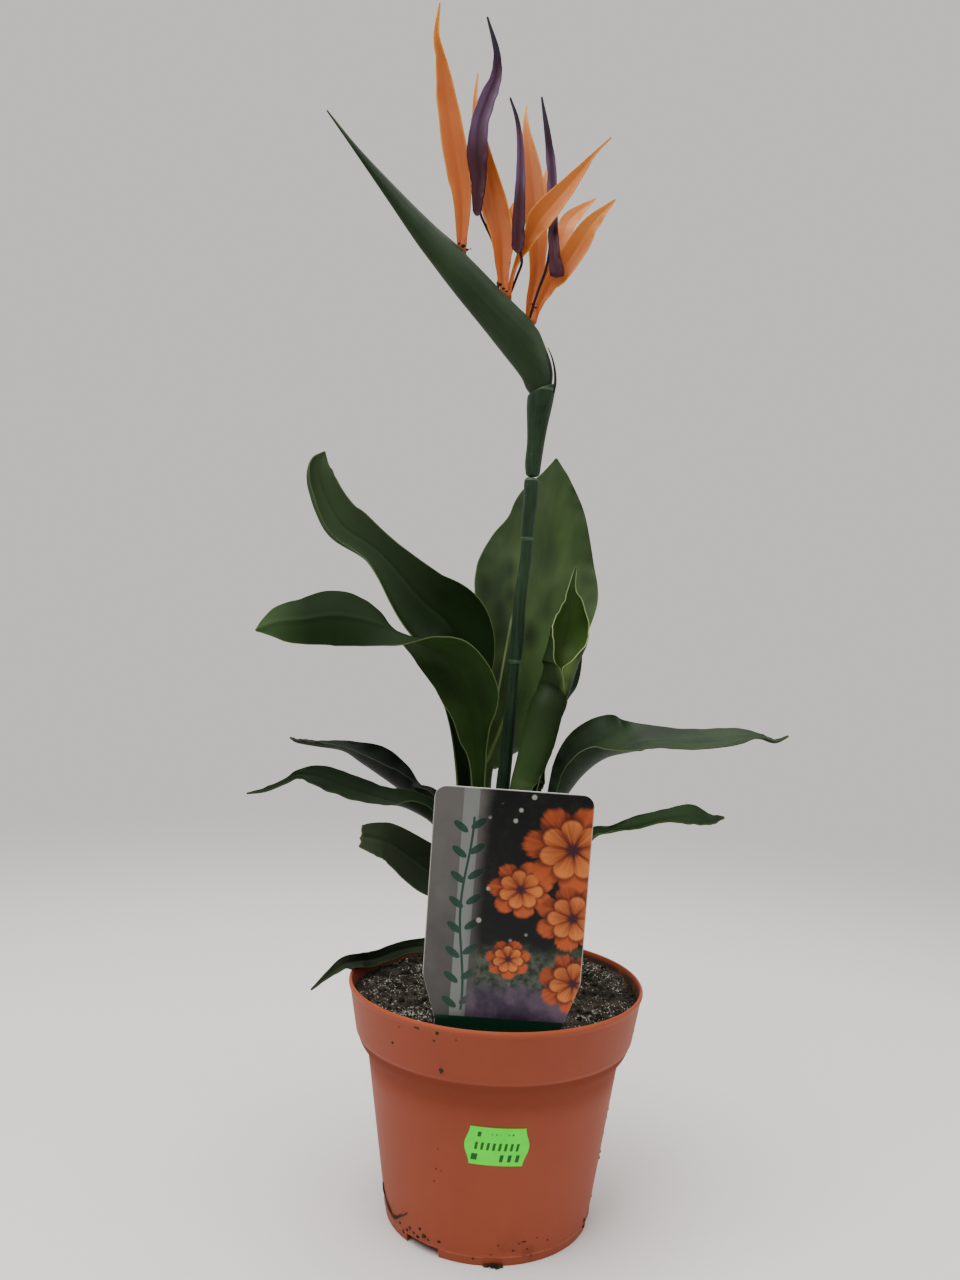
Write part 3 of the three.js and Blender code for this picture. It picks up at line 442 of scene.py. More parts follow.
def sweepTree():  # a round member along a path whose points carry their own radius
    tree = Tree("sweepStem")
    sides = tree.input("Sides", "NodeSocketInt", 32)
    material = tree.input("Material", "NodeSocketMaterial")
    radius = tree.add("GeometryNodeInputNamedAttribute", {"data_type": "FLOAT"}, {"Name": "thick"})
    path = tree.add("GeometryNodeMeshToCurve", {}, {0: tree.start.outputs[0]})
    ring = tree.add("GeometryNodeCurvePrimitiveCircle", {}, {"Resolution": sides, "Radius": 1.0})
    feeds = {"Curve": path, "Profile Curve": ring, "Scale": radius, "Fill Caps": True}
    body = tree.add("GeometryNodeCurveToMesh", {}, feeds)
    tree.close(tree.add("GeometryNodeSetShadeSmooth", {}, {0: body}), material)
    return tree


def turnTree():  # a profile turned round the upright axis
    tree = Tree("turnPot")
    sides = tree.input("Sides", "NodeSocketInt", 160)
    offset = tree.input("Path radius", "NodeSocketFloat", 0.02)
    material = tree.input("Material", "NodeSocketMaterial")
    profile = tree.add("GeometryNodeMeshToCurve", {}, {0: tree.start.outputs[0]})
    ring = tree.add("GeometryNodeCurvePrimitiveCircle", {}, {"Resolution": sides, "Radius": offset})
    body = tree.add("GeometryNodeCurveToMesh", {}, {"Curve": ring, "Profile Curve": profile})
    body = tree.add("GeometryNodeMergeByDistance", {}, {0: body, "Distance": 1e-6})
    tree.close(tree.add("GeometryNodeSetShadeSmooth", {}, {0: body}), material)
    return tree


def lineObject(name, points, values=None, closed=False):  # edges only, as the input of a tree
    mesh = bpy.data.meshes.new(name)
    count = len(points)
    edges = [(i, (i + 1) % count) for i in range(count if closed else count - 1)]
    mesh.from_pydata([tuple(p) for p in points], edges, [])
    if values is not None:
        layer = mesh.attributes.new("thick", "FLOAT", "POINT")
        layer.data.foreach_set("value", np.asarray(values, np.float32))
    return placed(name, mesh)


def drop(piece):
    mesh = piece.data
    bpy.data.objects.remove(piece)
    bpy.data.meshes.remove(mesh)


pot = {  # millimetres
    "height": 102.0,
    "lip": 65.0,
    "collar": 61.0,
    "collarFoot": 79.7,
    "step": 71.0,
    "shoulder": (59.2, 76.0),
    "lipBand": 3.0,
    "lipStep": 0.6,
    "foot": 44.8,
    "slope": 0.151,  # of the body's side
    "wall": 1.2,
    "floorUnder": 5.5,
    "floorTop": 7.0,
    "pad": 11.0,
    "sides": 168,
    "notches": (-127, -7, 113),
    "notchDepth": 8.0,
    "notchWidth": 17.0,
    "notchHeight": 4.0,
    "drains": 6,
    "drainRing": 28.0,
    "drainRadius": 4.0,
    "pathRadius": 20.0,  # of the circle that the profile is turned on
    "plastic": (tint(140, 64, 40), tint(150, 72, 47)),
    "flow": tint(166, 84, 56),
    "lipTone": tint(176, 84, 48),
    # painted highlight along the small ledge near the foot
    "footLine": tint(196, 128, 100),
    "shade": tint(112, 48, 28),  # below the collar
    "smear": tint(62, 54, 46),  # wet soil on the inner wall
    "dust": tint(84, 48, 34),
}


def bodyRadius(z):
    return pot["foot"] + pot["slope"] * z


def potFinish():
    finish = Finish("potPlastic", rough=0.5, specular=0.2)
    x, y, z = finish.split(finish.place())
    cloud = finish.noise(9, 4)
    flow = finish.noise(1, 3, finish.join(x * 160, y * 160, z * 14))
    speck = finish.noise(420, 2)
    colour = finish.mottle(*pot["plastic"], cloud, 0.3, 0.7)
    colour = finish.mix(colour, pot["flow"], flow.step(0.5, 0.8) * 0.12)
    lip = z.step(0.0992, 0.1012)
    colour = finish.mix(colour, pot["lipTone"], lip * 0.5)
    # painted highlight: a light line along the small ledge near the foot
    footLine = abs(z - 0.0038).step(0.0001, 0.0005, 1.0, 0.0)
    colour = finish.mix(colour, pot["footLine"], footLine * flow.step(0.3, 0.6) * 0.4)
    under = z.step(0.0788, 0.0797, 1.0, 0.0) * z.step(0.058, 0.0775)
    colour = finish.mix(colour, pot["shade"], under * 0.7)
    inner = ((x * x + y * y) ** 0.5 - z * 0.18).step(0.0458, 0.0462, 1.0, 0.0) * z.step(0.085, 0.09)
    patch = finish.noise(80, 4).step(0.32, 0.5) * (x + y).step(0.0, 0.02)
    smear = inner * z.step(0.0992, 0.1012, 1.0, 0.0) * patch
    colour = finish.mix(colour, pot["smear"], smear * 0.85)
    dust = finish.noise(60, 5).step(0.58, 0.72) * z.step(0.0, 0.02, 1.0, 0.0)
    colour = finish.mix(colour, pot["dust"], dust * 0.4)
    finish.bump(flow * 0.5 + speck * 0.25 + cloud * 0.4, 0.0001, 0.3)
    rough = 0.48 + cloud * 0.12 + dust * 0.2 + under * 0.35 + smear * 0.4
    return finish.use(colour, rough)


def rounded(profile, plain=0.35):  # the profile with its corners cut round; a corner may name its own size
    out = []
    count = len(profile)
    for i, corner in enumerate(profile):
        here = np.array(corner[:2])
        before = np.array(profile[i - 1][:2])
        after = np.array(profile[(i + 1) % count][:2])
        radius, steps = (corner[2], 8) if len(corner) > 2 else (plain, 3)
        if corner[0] < 0.01:
            out.append(here)
            continue
        cutBack = min(radius, np.linalg.norm(before - here) * 0.45, np.linalg.norm(after - here) * 0.45)
        first = here + (before - here) / np.linalg.norm(before - here) * cutBack
        second = here + (after - here) / np.linalg.norm(after - here) * cutBack
        for k in range(steps + 1):
            f = k / steps
            out.append((1 - f) ** 2 * first + 2 * f * (1 - f) * here + f * f * second)
    return out


def makePot():
    top, lip, wall = pot["height"], pot["lip"], pot["wall"]
    collar, foot = pot["collar"], pot["collarFoot"]
    band, step = pot["lipBand"], pot["lipStep"]
    profile = [  # radius, height, and a corner's own size where it has one
        (0, 0),
        (pot["pad"], 0),
        (pot["pad"] + 0.6, pot["floorUnder"]),
        (pot["foot"] - 1, pot["floorUnder"]),
        (pot["foot"] - 1.6, 0),
        (pot["foot"], 0),
        (bodyRadius(3.4), 3.4),
        (bodyRadius(4) + 0.3, 3.9),
        (bodyRadius(5), 4.8),
        (bodyRadius(pot["step"]), pot["step"], 4.5),
        (*pot["shoulder"], 1.6),
        (collar - 0.5, foot - 0.3),
        (collar + 0.15, foot + 1),
        (lip - step, top - band),
        (lip, top - band + 1),
        (lip + 0.1, top - 1),
        (lip - 0.5, top),
        (lip - wall, top - 0.2),
        (lip - step - wall, top - band),
        (collar - 1.05, foot + 1.4),
        (collar - 1.6, foot + 0.6),
        (bodyRadius(pot["step"]) - wall, pot["step"] + 0.7),
        (bodyRadius(pot["floorTop"]) - wall, pot["floorTop"]),
        (0, pot["floorTop"]),
    ]
    offset = pot["pathRadius"]
    line = [((radius - offset) * mm, -z * mm, 0) for radius, z in rounded(profile)]
    base = lineObject("potProfile", line, closed=True)
    tree = turnTree()
    material = potFinish()
    values = {"Sides": pot["sides"], "Path radius": offset * mm, "Material": material}
    piece = tree.run(base, "potBody", values)
    drop(base)
    low = min(v.co.z for v in piece.data.vertices)
    reach = max(v.co.x for v in piece.data.vertices)
    print("pot turned:", len(piece.data.polygons), "faces, reach", round(reach, 4), "low", round(low, 4))
    cutters = []
    for place in pot["notches"]:
        size = Vector((pot["notchDepth"], pot["notchWidth"], 2 * pot["notchHeight"])) * mm
        spot = Matrix.Translation(((pot["foot"] + 1.2) * mm, 0, 0))
        spot = Matrix.Rotation(math.radians(place), 4, "Z") @ spot
        corners = [spot @ Vector((x * size.x / 2, y * size.y / 2, z * size.z / 2))
                   for x in (-1, 1) for y in (-1, 1) for z in (-1, 1)]
        boxFaces = [(0, 1, 3, 2), (4, 6, 7, 5), (0, 4, 5, 1), (2, 3, 7, 6), (0, 2, 6, 4), (1, 5, 7, 3)]
        cutters.append((np.array([tuple(c) for c in corners]), boxFaces, {}))
    for i in range(pot["drains"]):
        turn = 2 * math.pi * (i + 0.5) / pot["drains"]
        x, y = pot["drainRing"] * math.cos(turn), pot["drainRing"] * math.sin(turn)
        grid = [[(x + pot["drainRadius"] * math.cos(a), y + pot["drainRadius"] * math.sin(a), z)
                 for a in np.linspace(0, 2 * math.pi, 32, endpoint=False)] for z in (3, 9)]
        drain, faces, _ = ringBody(np.array(grid) * mm)
        cutters.append((drain, faces, {}))
    points, faces, _ = together(*cutters)
    cutter = meshPiece("potCutter", points, faces, material)
    cut = piece.modifiers.new("cut", "BOOLEAN")
    cut.operation = "DIFFERENCE"
    cut.solver = "EXACT"
    cut.object = cutter
    shape = piece.evaluated_get(bpy.context.evaluated_depsgraph_get())
    mesh = bpy.data.meshes.new_from_object(shape)
    piece.modifiers.remove(cut)
    old = piece.data
    piece.data = mesh
    bpy.data.meshes.remove(old)
    drop(cutter)
    mesh.polygons.foreach_set("use_smooth", [True] * len(mesh.polygons))
    mesh.set_sharp_from_angle(angle=math.radians(40))
    keep(piece, "pot_plastic", "pot")


makePot()
print("pot done")

soil = {  # millimetres
    "top": 95.0,
    "bank": 3.5,
    "radius": 62.3,
    "rings": 84,
    "sectors": 200,
    "clods": ((0.085, 1.5), (0.2, 1.2), (0.5, 0.5)),  # rate and size
    "side": ((59, 81.1), (58.9, 80.7), (53.8, 72.1), (44.1, 7.5)),  # radius, height
    "grainReach": 60.5,
    "clumps": {"many": 30000.0, "smallest": 0.5, "largest": 1.1, "seed": 11},  # many to a square metre
    "crumbs": {"many": 240000.0, "smallest": 0.4, "largest": 1.5, "seed": 12},
    "grit": {"many": 1100000.0, "smallest": 0.35, "largest": 1.6, "seed": 13},
    "fibres": {"many": 30000.0, "smallest": 0.3, "largest": 1.1, "seed": 14},
}


def soilHeight(x, y):
    reach = min(math.hypot(x, y) / 61.8, 1)
    fade = 1 - reach**6
    swell = 0.9 * math.sin(0.11 * x + 0.6) * math.cos(0.13 * y + 0.3)
    lumps = 0.6 * math.sin(0.33 * x - 0.27 * y) + 0.4 * math.cos(0.41 * y + 0.2 * x)
    clods = sum(size * noise.noise(Vector((x * rate, y * rate, 4.2))) for rate, size in soil["clods"])
    bank = smooth((math.hypot(x, y) - 38) / 20) * smooth((y + 25) / 50) * smooth((x + 30) / 30)
    return soil["top"] + fade * (swell + lumps) + clods * (1 - 0.4 * reach**8) + soil["bank"] * float(bank)


def soilFinish():
    finish = Finish("pottingSoil", rough=0.95, specular=0.2)
    cloud = finish.noise(70, 5)
    fine = finish.noise(900, 4)
    grains = finish.add("ShaderNodeTexVoronoi", {}, {"Vector": finish.place(), "Scale": 650.0})
    colour = finish.mottle(tint(25, 22, 18), tint(62, 56, 47), cloud, 0.35, 0.7)
    colour = finish.mix(colour, tint(112, 106, 94), fine.step(0.58, 0.74) * 0.7)
    colour = finish.mix(colour, tint(150, 146, 134), grains.step(0.0, 0.16, 1.0, 0.0) * fine.step(0.5, 0.6))
    finish.bump(fine * 0.7 + cloud + grains * 0.4, 0.0009, 0.9)
    return finish.use(colour)


def grainFinish(name, dark, light, rough):
    finish = Finish(name, rough=rough, specular=0.25)
    colour = finish.mottle(dark, light, finish.noise(260, 3))
    finish.bump(finish.noise(1800, 3), 0.0002, 0.6)
    return finish.use(colour)


def pebble(name, size, seed, flat=1.0, level=1):  # lumpy grain, as input of the scatter tree
    work = bmesh.new()
    bmesh.ops.create_icosphere(work, subdivisions=level, radius=size * mm)
    for vertex in work.verts:
        push = 1 + 0.45 * noise.noise(vertex.co.normalized() * 1.7 + Vector((seed, 0, 0)))
        vertex.co = vertex.co * push
        vertex.co.z *= flat
    mesh = bpy.data.meshes.new(name)
    work.to_mesh(mesh)
    work.free()
    return placed(name, mesh)


def fibre(name, long, radius):  # a bent thread, as input of the scatter tree
    path = [(-long / 2, 0, 0), (-long / 6, long * 0.12, 0.1)]
    path += [(long / 6, -long * 0.06, 0.3), (long / 2, 0, 0)]
    points, faces, _ = tube(path, [radius, radius, radius, radius * 0.6], sides=5, samples=3)
    mesh = bpy.data.meshes.new(name)
    mesh.from_pydata([tuple(p) for p in points], [], faces)
    return placed(name, mesh)


scatter = scatterTree()


def scatterOn(base, name, grain, amount, material):
    values = {
        "Grains per square metre": amount["many"],
        "Smallest": amount["smallest"],
        "Largest": amount["largest"],
        "Grain": grain,
        "Seed": amount["seed"],
        "Material": material,
    }
    piece = scatter.run(base, name, values)
    piece.data.polygons.foreach_set("use_smooth", [True] * len(piece.data.polygons))
    drop(grain)
    print(name, len(piece.data.polygons), "faces")
    keep(piece, "potting_soil")


def makeSoil():
    rings, sectors = soil["rings"], soil["sectors"]
    points = [(0, 0, soilHeight(0, 0))]
    for i in range(1, rings + 1):
        radius = soil["radius"] * i / rings
        for j in range(sectors):
            turn = 2 * math.pi * j / sectors
            x, y = radius * math.cos(turn), radius * math.sin(turn)
            points.append((x, y, soilHeight(x, y)))
    for radius, z in soil["side"]:
        for j in range(sectors):
            turn = 2 * math.pi * j / sectors
            points.append((radius * math.cos(turn), radius * math.sin(turn), z))
    points.append((0, 0, soil["side"][-1][1]))
    faces = []
    total = rings + len(soil["side"])
    for j in range(sectors):
        after = (j + 1) % sectors
        faces.append((0, 1 + j, 1 + after))
        for i in range(total - 1):
            a, b = 1 + i * sectors + j, 1 + i * sectors + after
            faces.append((a, a + sectors, b + sectors, b))
        foot = 1 + (total - 1) * sectors
        faces.append((foot + j, len(points) - 1, foot + after))
    points = np.array(points) * mm
    piece = meshPiece("soilBody", points, outward(points, faces), soilFinish(), sharpAngle=80)
    spread = piece.data.attributes.new("spread", "FLOAT", "POINT")  # where the grains lie
    reach = soil["grainReach"] * mm
    covered = [float(v.co.z > 0.09 and v.co.xy.length < reach) for v in piece.data.vertices]
    spread.data.foreach_set("value", covered)
    dark = grainFinish("soilCrumb", tint(22, 19, 16), tint(68, 61, 51), 0.95)
    pale = grainFinish("paleGrit", tint(96, 92, 82), tint(190, 186, 174), 0.85)
    straw = grainFinish("peatFibre", tint(80, 62, 44), tint(150, 130, 100), 0.9)
    scatterOn(piece, "soilClumps", pebble("clump", 1.9, 3, 0.8, 2), soil["clumps"], dark)
    scatterOn(piece, "soilCrumbs", pebble("crumb", 0.8, 7, 0.8), soil["crumbs"], dark)
    patchy = []
    for share, vertex in zip(covered, piece.data.vertices):
        patch = 2.2 * noise.noise(vertex.co * 55) + 2.2 * noise.noise(vertex.co * 190) + 0.42
        patchy.append(share * float(smooth(patch)))
    spread.data.foreach_set("value", patchy)
    scatterOn(piece, "soilGrit", pebble("grit", 0.36, 5, 0.8), soil["grit"], pale)
    scatterOn(piece, "soilFibres", fibre("fibre", 6, 0.13), soil["fibres"], straw)
    keep(piece, "potting_soil", "soil")


makeSoil()
print("soil done")

cling = {  # crumbs and a root on the pot, millimetres
    "front": (  # x, z, width, height
        (-31.6, 99.3, 2.6, 1.3), (-23.6, 99.1, 1.3, 2.2), (-24.7, 95.3, 0.9, 0.9), (-41.6, 89.2, 1, 1),
        (-21.3, 83.5, 1.8, 2.2), (-16.1, 97.3, 0.5, 0.8), (-39, 97.1, 0.6, 0.5), (-15.4, 100.4, 0.5, 0.5),
        (-21.6, 47.6, 0.5, 0.9), (-22.1, 38.7, 0.6, 0.8), (-20, 38.4, 0.4, 0.6), (-22.7, 33.2, 0.6, 0.8),
        (4.1, 9.2, 1.2, 0.6), (14.6, 10, 2.4, 0.7), (20, 10.6, 0.7, 0.6), (10.3, 6.6, 1.2, 0.7),
        (17.9, 3.6, 1.6, 0.7), (-13.8, 4, 1.1, 0.6), (-5.7, 2.9, 1, 0.6), (-19.7, 7.1, 1.5, 1),
        (-26, 7.1, 2.4, 1.9), (-32.1, 7.3, 1.6, 1.3), (-27.8, 9.4, 1.2, 1.4), (-34.8, 3.8, 1.7, 1.8),
        (-28.6, 5.3, 1.8, 1.2), (-36.6, 6.2, 1.3, 1.1), (24.5, 8.4, 1, 0.8), (1.5, 5.2, 0.8, 0.6),
        (-30.4, 6.1, 1.4, 1), (-33.4, 5.6, 1.5, 1.3), (-24.2, 6.2, 1.2, 1), (-38.2, 7.6, 1.2, 1.6),
        (-37.2, 8.9, 1, 1), (12.6, 9.4, 1.2, 0.7), (16.2, 6.4, 0.8, 0.7), (7.2, 3.9, 1, 0.6),
    ),
    "side": (  # angle, z, size
        (-9.2, 84, 1), (-9.2, 67.5, 0.7), (-9.2, 62.6, 0.6), (-9.2, 48.8, 0.9), (-9.2, 45.2, 0.8),
        (-9.2, 38, 0.7), (-9.2, 30, 1.3), (-9.2, 27.3, 1.5), (-9.2, 10, 1), (-25, 6, 1.5), (-25, 3.5, 1.7),
    ),
    "floor": ((2.5, -45.6, 2), (5.2, -45.4, 1.5), (-0.5, -45.5, 1.3), (4, -46.6, 0.9)),  # x, y, size
    "root": (  # x, z, radius
        (-45.6, 15, 0.25), (-44.9, 12, 0.5), (-43.6, 9.6, 0.4), (-42.2, 8.2, 0.75), (-40.6, 6.6, 0.5),
        (-39.2, 6.5, 0.7), (-38, 7.6, 0.45), (-36.6, 9.8, 0.5), (-35.2, 11.2, 0.3), (-33.6, 13.4, 0.2),
    ),
}


def wallRadius(z):
    step, band = pot["step"], pot["height"] - pot["lipBand"]
    heights = [0, step, pot["shoulder"][1], pot["collarFoot"] + 0.3, band]
    radii = [pot["foot"], bodyRadius(step), pot["shoulder"][0], pot["collar"], pot["lip"] - pot["lipStep"]]
    return float(np.interp(z, heights, radii))


def crumbAt(place, away, wide, high, seed):  # a flattened lump, half sunk in the wall
    work = bmesh.new()
    bmesh.ops.create_icosphere(work, subdivisions=2, radius=0.5)
    up = Vector((0, 0, 1))
    side = up.cross(away) if abs(away.z) < 0.5 else Vector((1, 0, 0))
    other = away.cross(side)
    for vertex in work.verts:
        lump = 1 + 0.6 * noise.noise(vertex.co * 3 + Vector((seed * 1.7, 0, 0)))
        vertex.co = place + lump * (side * vertex.co.x * wide + other * vertex.co.y * high
                                    + away * vertex.co.z * min(wide, high) * 0.7)
    points = np.array([tuple(v.co) for v in work.verts]) * mm
    faces = [tuple(v.index for v in face.verts) for face in work.faces]
    work.free()
    return points, outward(points, faces), {}


def makeCling():
    chunks = []
    for i, (x, z, wide, high) in enumerate(cling["front"]):
        reach = wallRadius(z)
        place = Vector((x, -math.sqrt(reach * reach - x * x), z))
        chunks.append(crumbAt(place, Vector((place.x, place.y, 0)).normalized(), wide, high, i))
    for i, (angle, z, size) in enumerate(cling["side"]):
        away = Vector((math.cos(math.radians(angle)), math.sin(math.radians(angle)), 0))
        chunks.append(crumbAt(away * wallRadius(z) + Vector((0, 0, z)), away, size, size * 1.3, i + 50))
    for i, (x, y, size) in enumerate(cling["floor"]):
        chunks.append(crumbAt(Vector((x, y, size * 0.35)), Vector((0, 0, 1)), size * 2, size, i + 80))
    root = []
    for x, z, _ in cling["root"]:
        reach = wallRadius(z) + 0.2
        root.append((x, -math.sqrt(max(reach * reach - x * x, 4)), z))
    points, faces, _ = tube(root, [radius for _, _, radius in cling["root"]], sides=8)
    points, faces, _ = together(*chunks, (points, faces, {}))
    finish = grainFinish("clingingSoil", tint(30, 22, 17), tint(66, 50, 38), 0.9)
    keep(meshPiece("potCrumbs", points, faces, finish), "potting_soil")


makeCling()
print("crumbs on the pot done")

leafSheet = {  # thickness and relief of a leaf, millimetres
    "edge": 0.5,
    "rib": 1.1,
    "stalkEdge": 0.9,
    "stalkRib": 3.0,
    "groove": 0.35,
    "keel": 0.4,
    "ripple": 0.7,
    "across": 26,
}

leafLooks = {
    "leaf_green": {"deep": tint(17, 32, 12), "mid": tint(34, 54, 22), "back": tint(34, 48, 28)},
    "leaf_dark": {"deep": tint(9, 17, 9), "mid": tint(20, 32, 19), "back": tint(22, 34, 20)},
    "leaf_pale": {"deep": tint(42, 60, 30), "mid": tint(60, 82, 40), "back": tint(56, 76, 42)},
    "leaf_grey": {"deep": tint(22, 32, 22), "mid": tint(38, 50, 36), "back": tint(26, 38, 24)},
}
leafPlain = {  # a leaf's look, where it doesn't name its own
    "rim": 0.15,  # share of the pale margin
    "rib": 0.0,  # share of the pale midrib, and where it ends
    "ribEnd": 0.95,
    "gloss": 0.16,
    "ribTone": tint(112, 134, 80),
    "rimTone": tint(142, 160, 104),
    "dryTone": tint(80, 66, 42),
    "streakTone": tint(150, 166, 118),
    "tip": tint(60, 78, 52),  # colours towards the tip
    "tipShare": 0.0,
    "tipFrom": 0.6,
    "tipTo": 0.85,
    "backTip": None,  # colour of the underside further out, and where it begins and ends
    "backFrom": 0.35,
    "backTo": 0.6,
    "spot": tint(24, 36, 16),
    "spots": (),  # x, z, radius in mm, share
    "streaks": (),  # x at the low end, low z, high z, lean
}


def leafFinish(node, look):
    finish = Finish(node + "Finish", rough=0.48, specular=look["gloss"])
    length, t, width = finish.split(finish.attribute("blade"))
    along, under, blade = finish.split(finish.attribute("place"))
    x, y, z = finish.split(finish.place())
    lateral = abs(t) * width
    margin = width - lateral
    cloud = finish.noise(14, 4)
    patches = finish.noise(1, 2, finish.join(length * 0.03, t * width * 0.07, under * 5))  # along the midrib
    fine = finish.noise(1, 3, finish.join(length * 0.05, t * width * 0.9, under))
    vein = finish.noise(1, 2, finish.join((length - lateral * 0.5) * 1.1, lateral * 0.05, t * 2))
    colour = finish.mottle(look["deep"], look["mid"], cloud * 0.4 + patches * 0.6, 0.36, 0.64)
    colour = finish.mix(colour, look["mid"], fine.step(0.5, 0.8) * 0.15)
    back = look["back"]
    if look["backTip"]:
        back = finish.mix(back, look["backTip"], along.step(look["backFrom"], look["backTo"]))
    colour = finish.mix(colour, back, under * 0.9)
    if look["tipShare"]:
        share = along.step(look["tipFrom"], look["tipTo"]) * look["tipShare"]
        colour = finish.mix(colour, look["tip"], share)
    for left, low, high, lean in look["streaks"]:
        gap = abs(x - left * mm - (z - low * mm) * lean)
        streak = gap.step(0.0002, 0.0007, 1.0, 0.0) * z.step(low * mm, low * mm + 0.004)
        streak = streak * z.step(high * mm - 0.006, high * mm, 1.0, 0.0)
        colour = finish.mix(colour, look["streakTone"], streak * 0.75)
    for left, height, size, share in look["spots"]:
        gap = ((x - left * mm) ** 2 + ((z - height * mm) * 0.6) ** 2) ** 0.5
        spot = (gap + cloud * 0.002).step(0.2 * size * mm, size * mm + 0.001, 1.0, 0.0)
        colour = finish.mix(colour, look["spot"], spot * share)
    rib = (lateral * (1.2 + along * 1.6)).step(0.5, 1.9, 1.0, 0.0) * blade
    rib = rib * along.step(look["ribEnd"] - 0.2, look["ribEnd"], 1.0, 0.0)
    colour = finish.mix(colour, look["ribTone"], rib * look["rib"])
    rim = margin.step(0.05, 0.32, 1.0, 0.0)
    colour = finish.mix(colour, look["rimTone"], rim * look["rim"])
    dry = along.step(0.988, 0.998)
    colour = finish.mix(colour, look["dryTone"], dry * 0.7)
    finish.bump(vein * 0.25 + fine * 0.35 + patches * 0.6, 0.00018, 0.3)
    return finish.use(colour, 0.42 + cloud * 0.14 + under * 0.08)


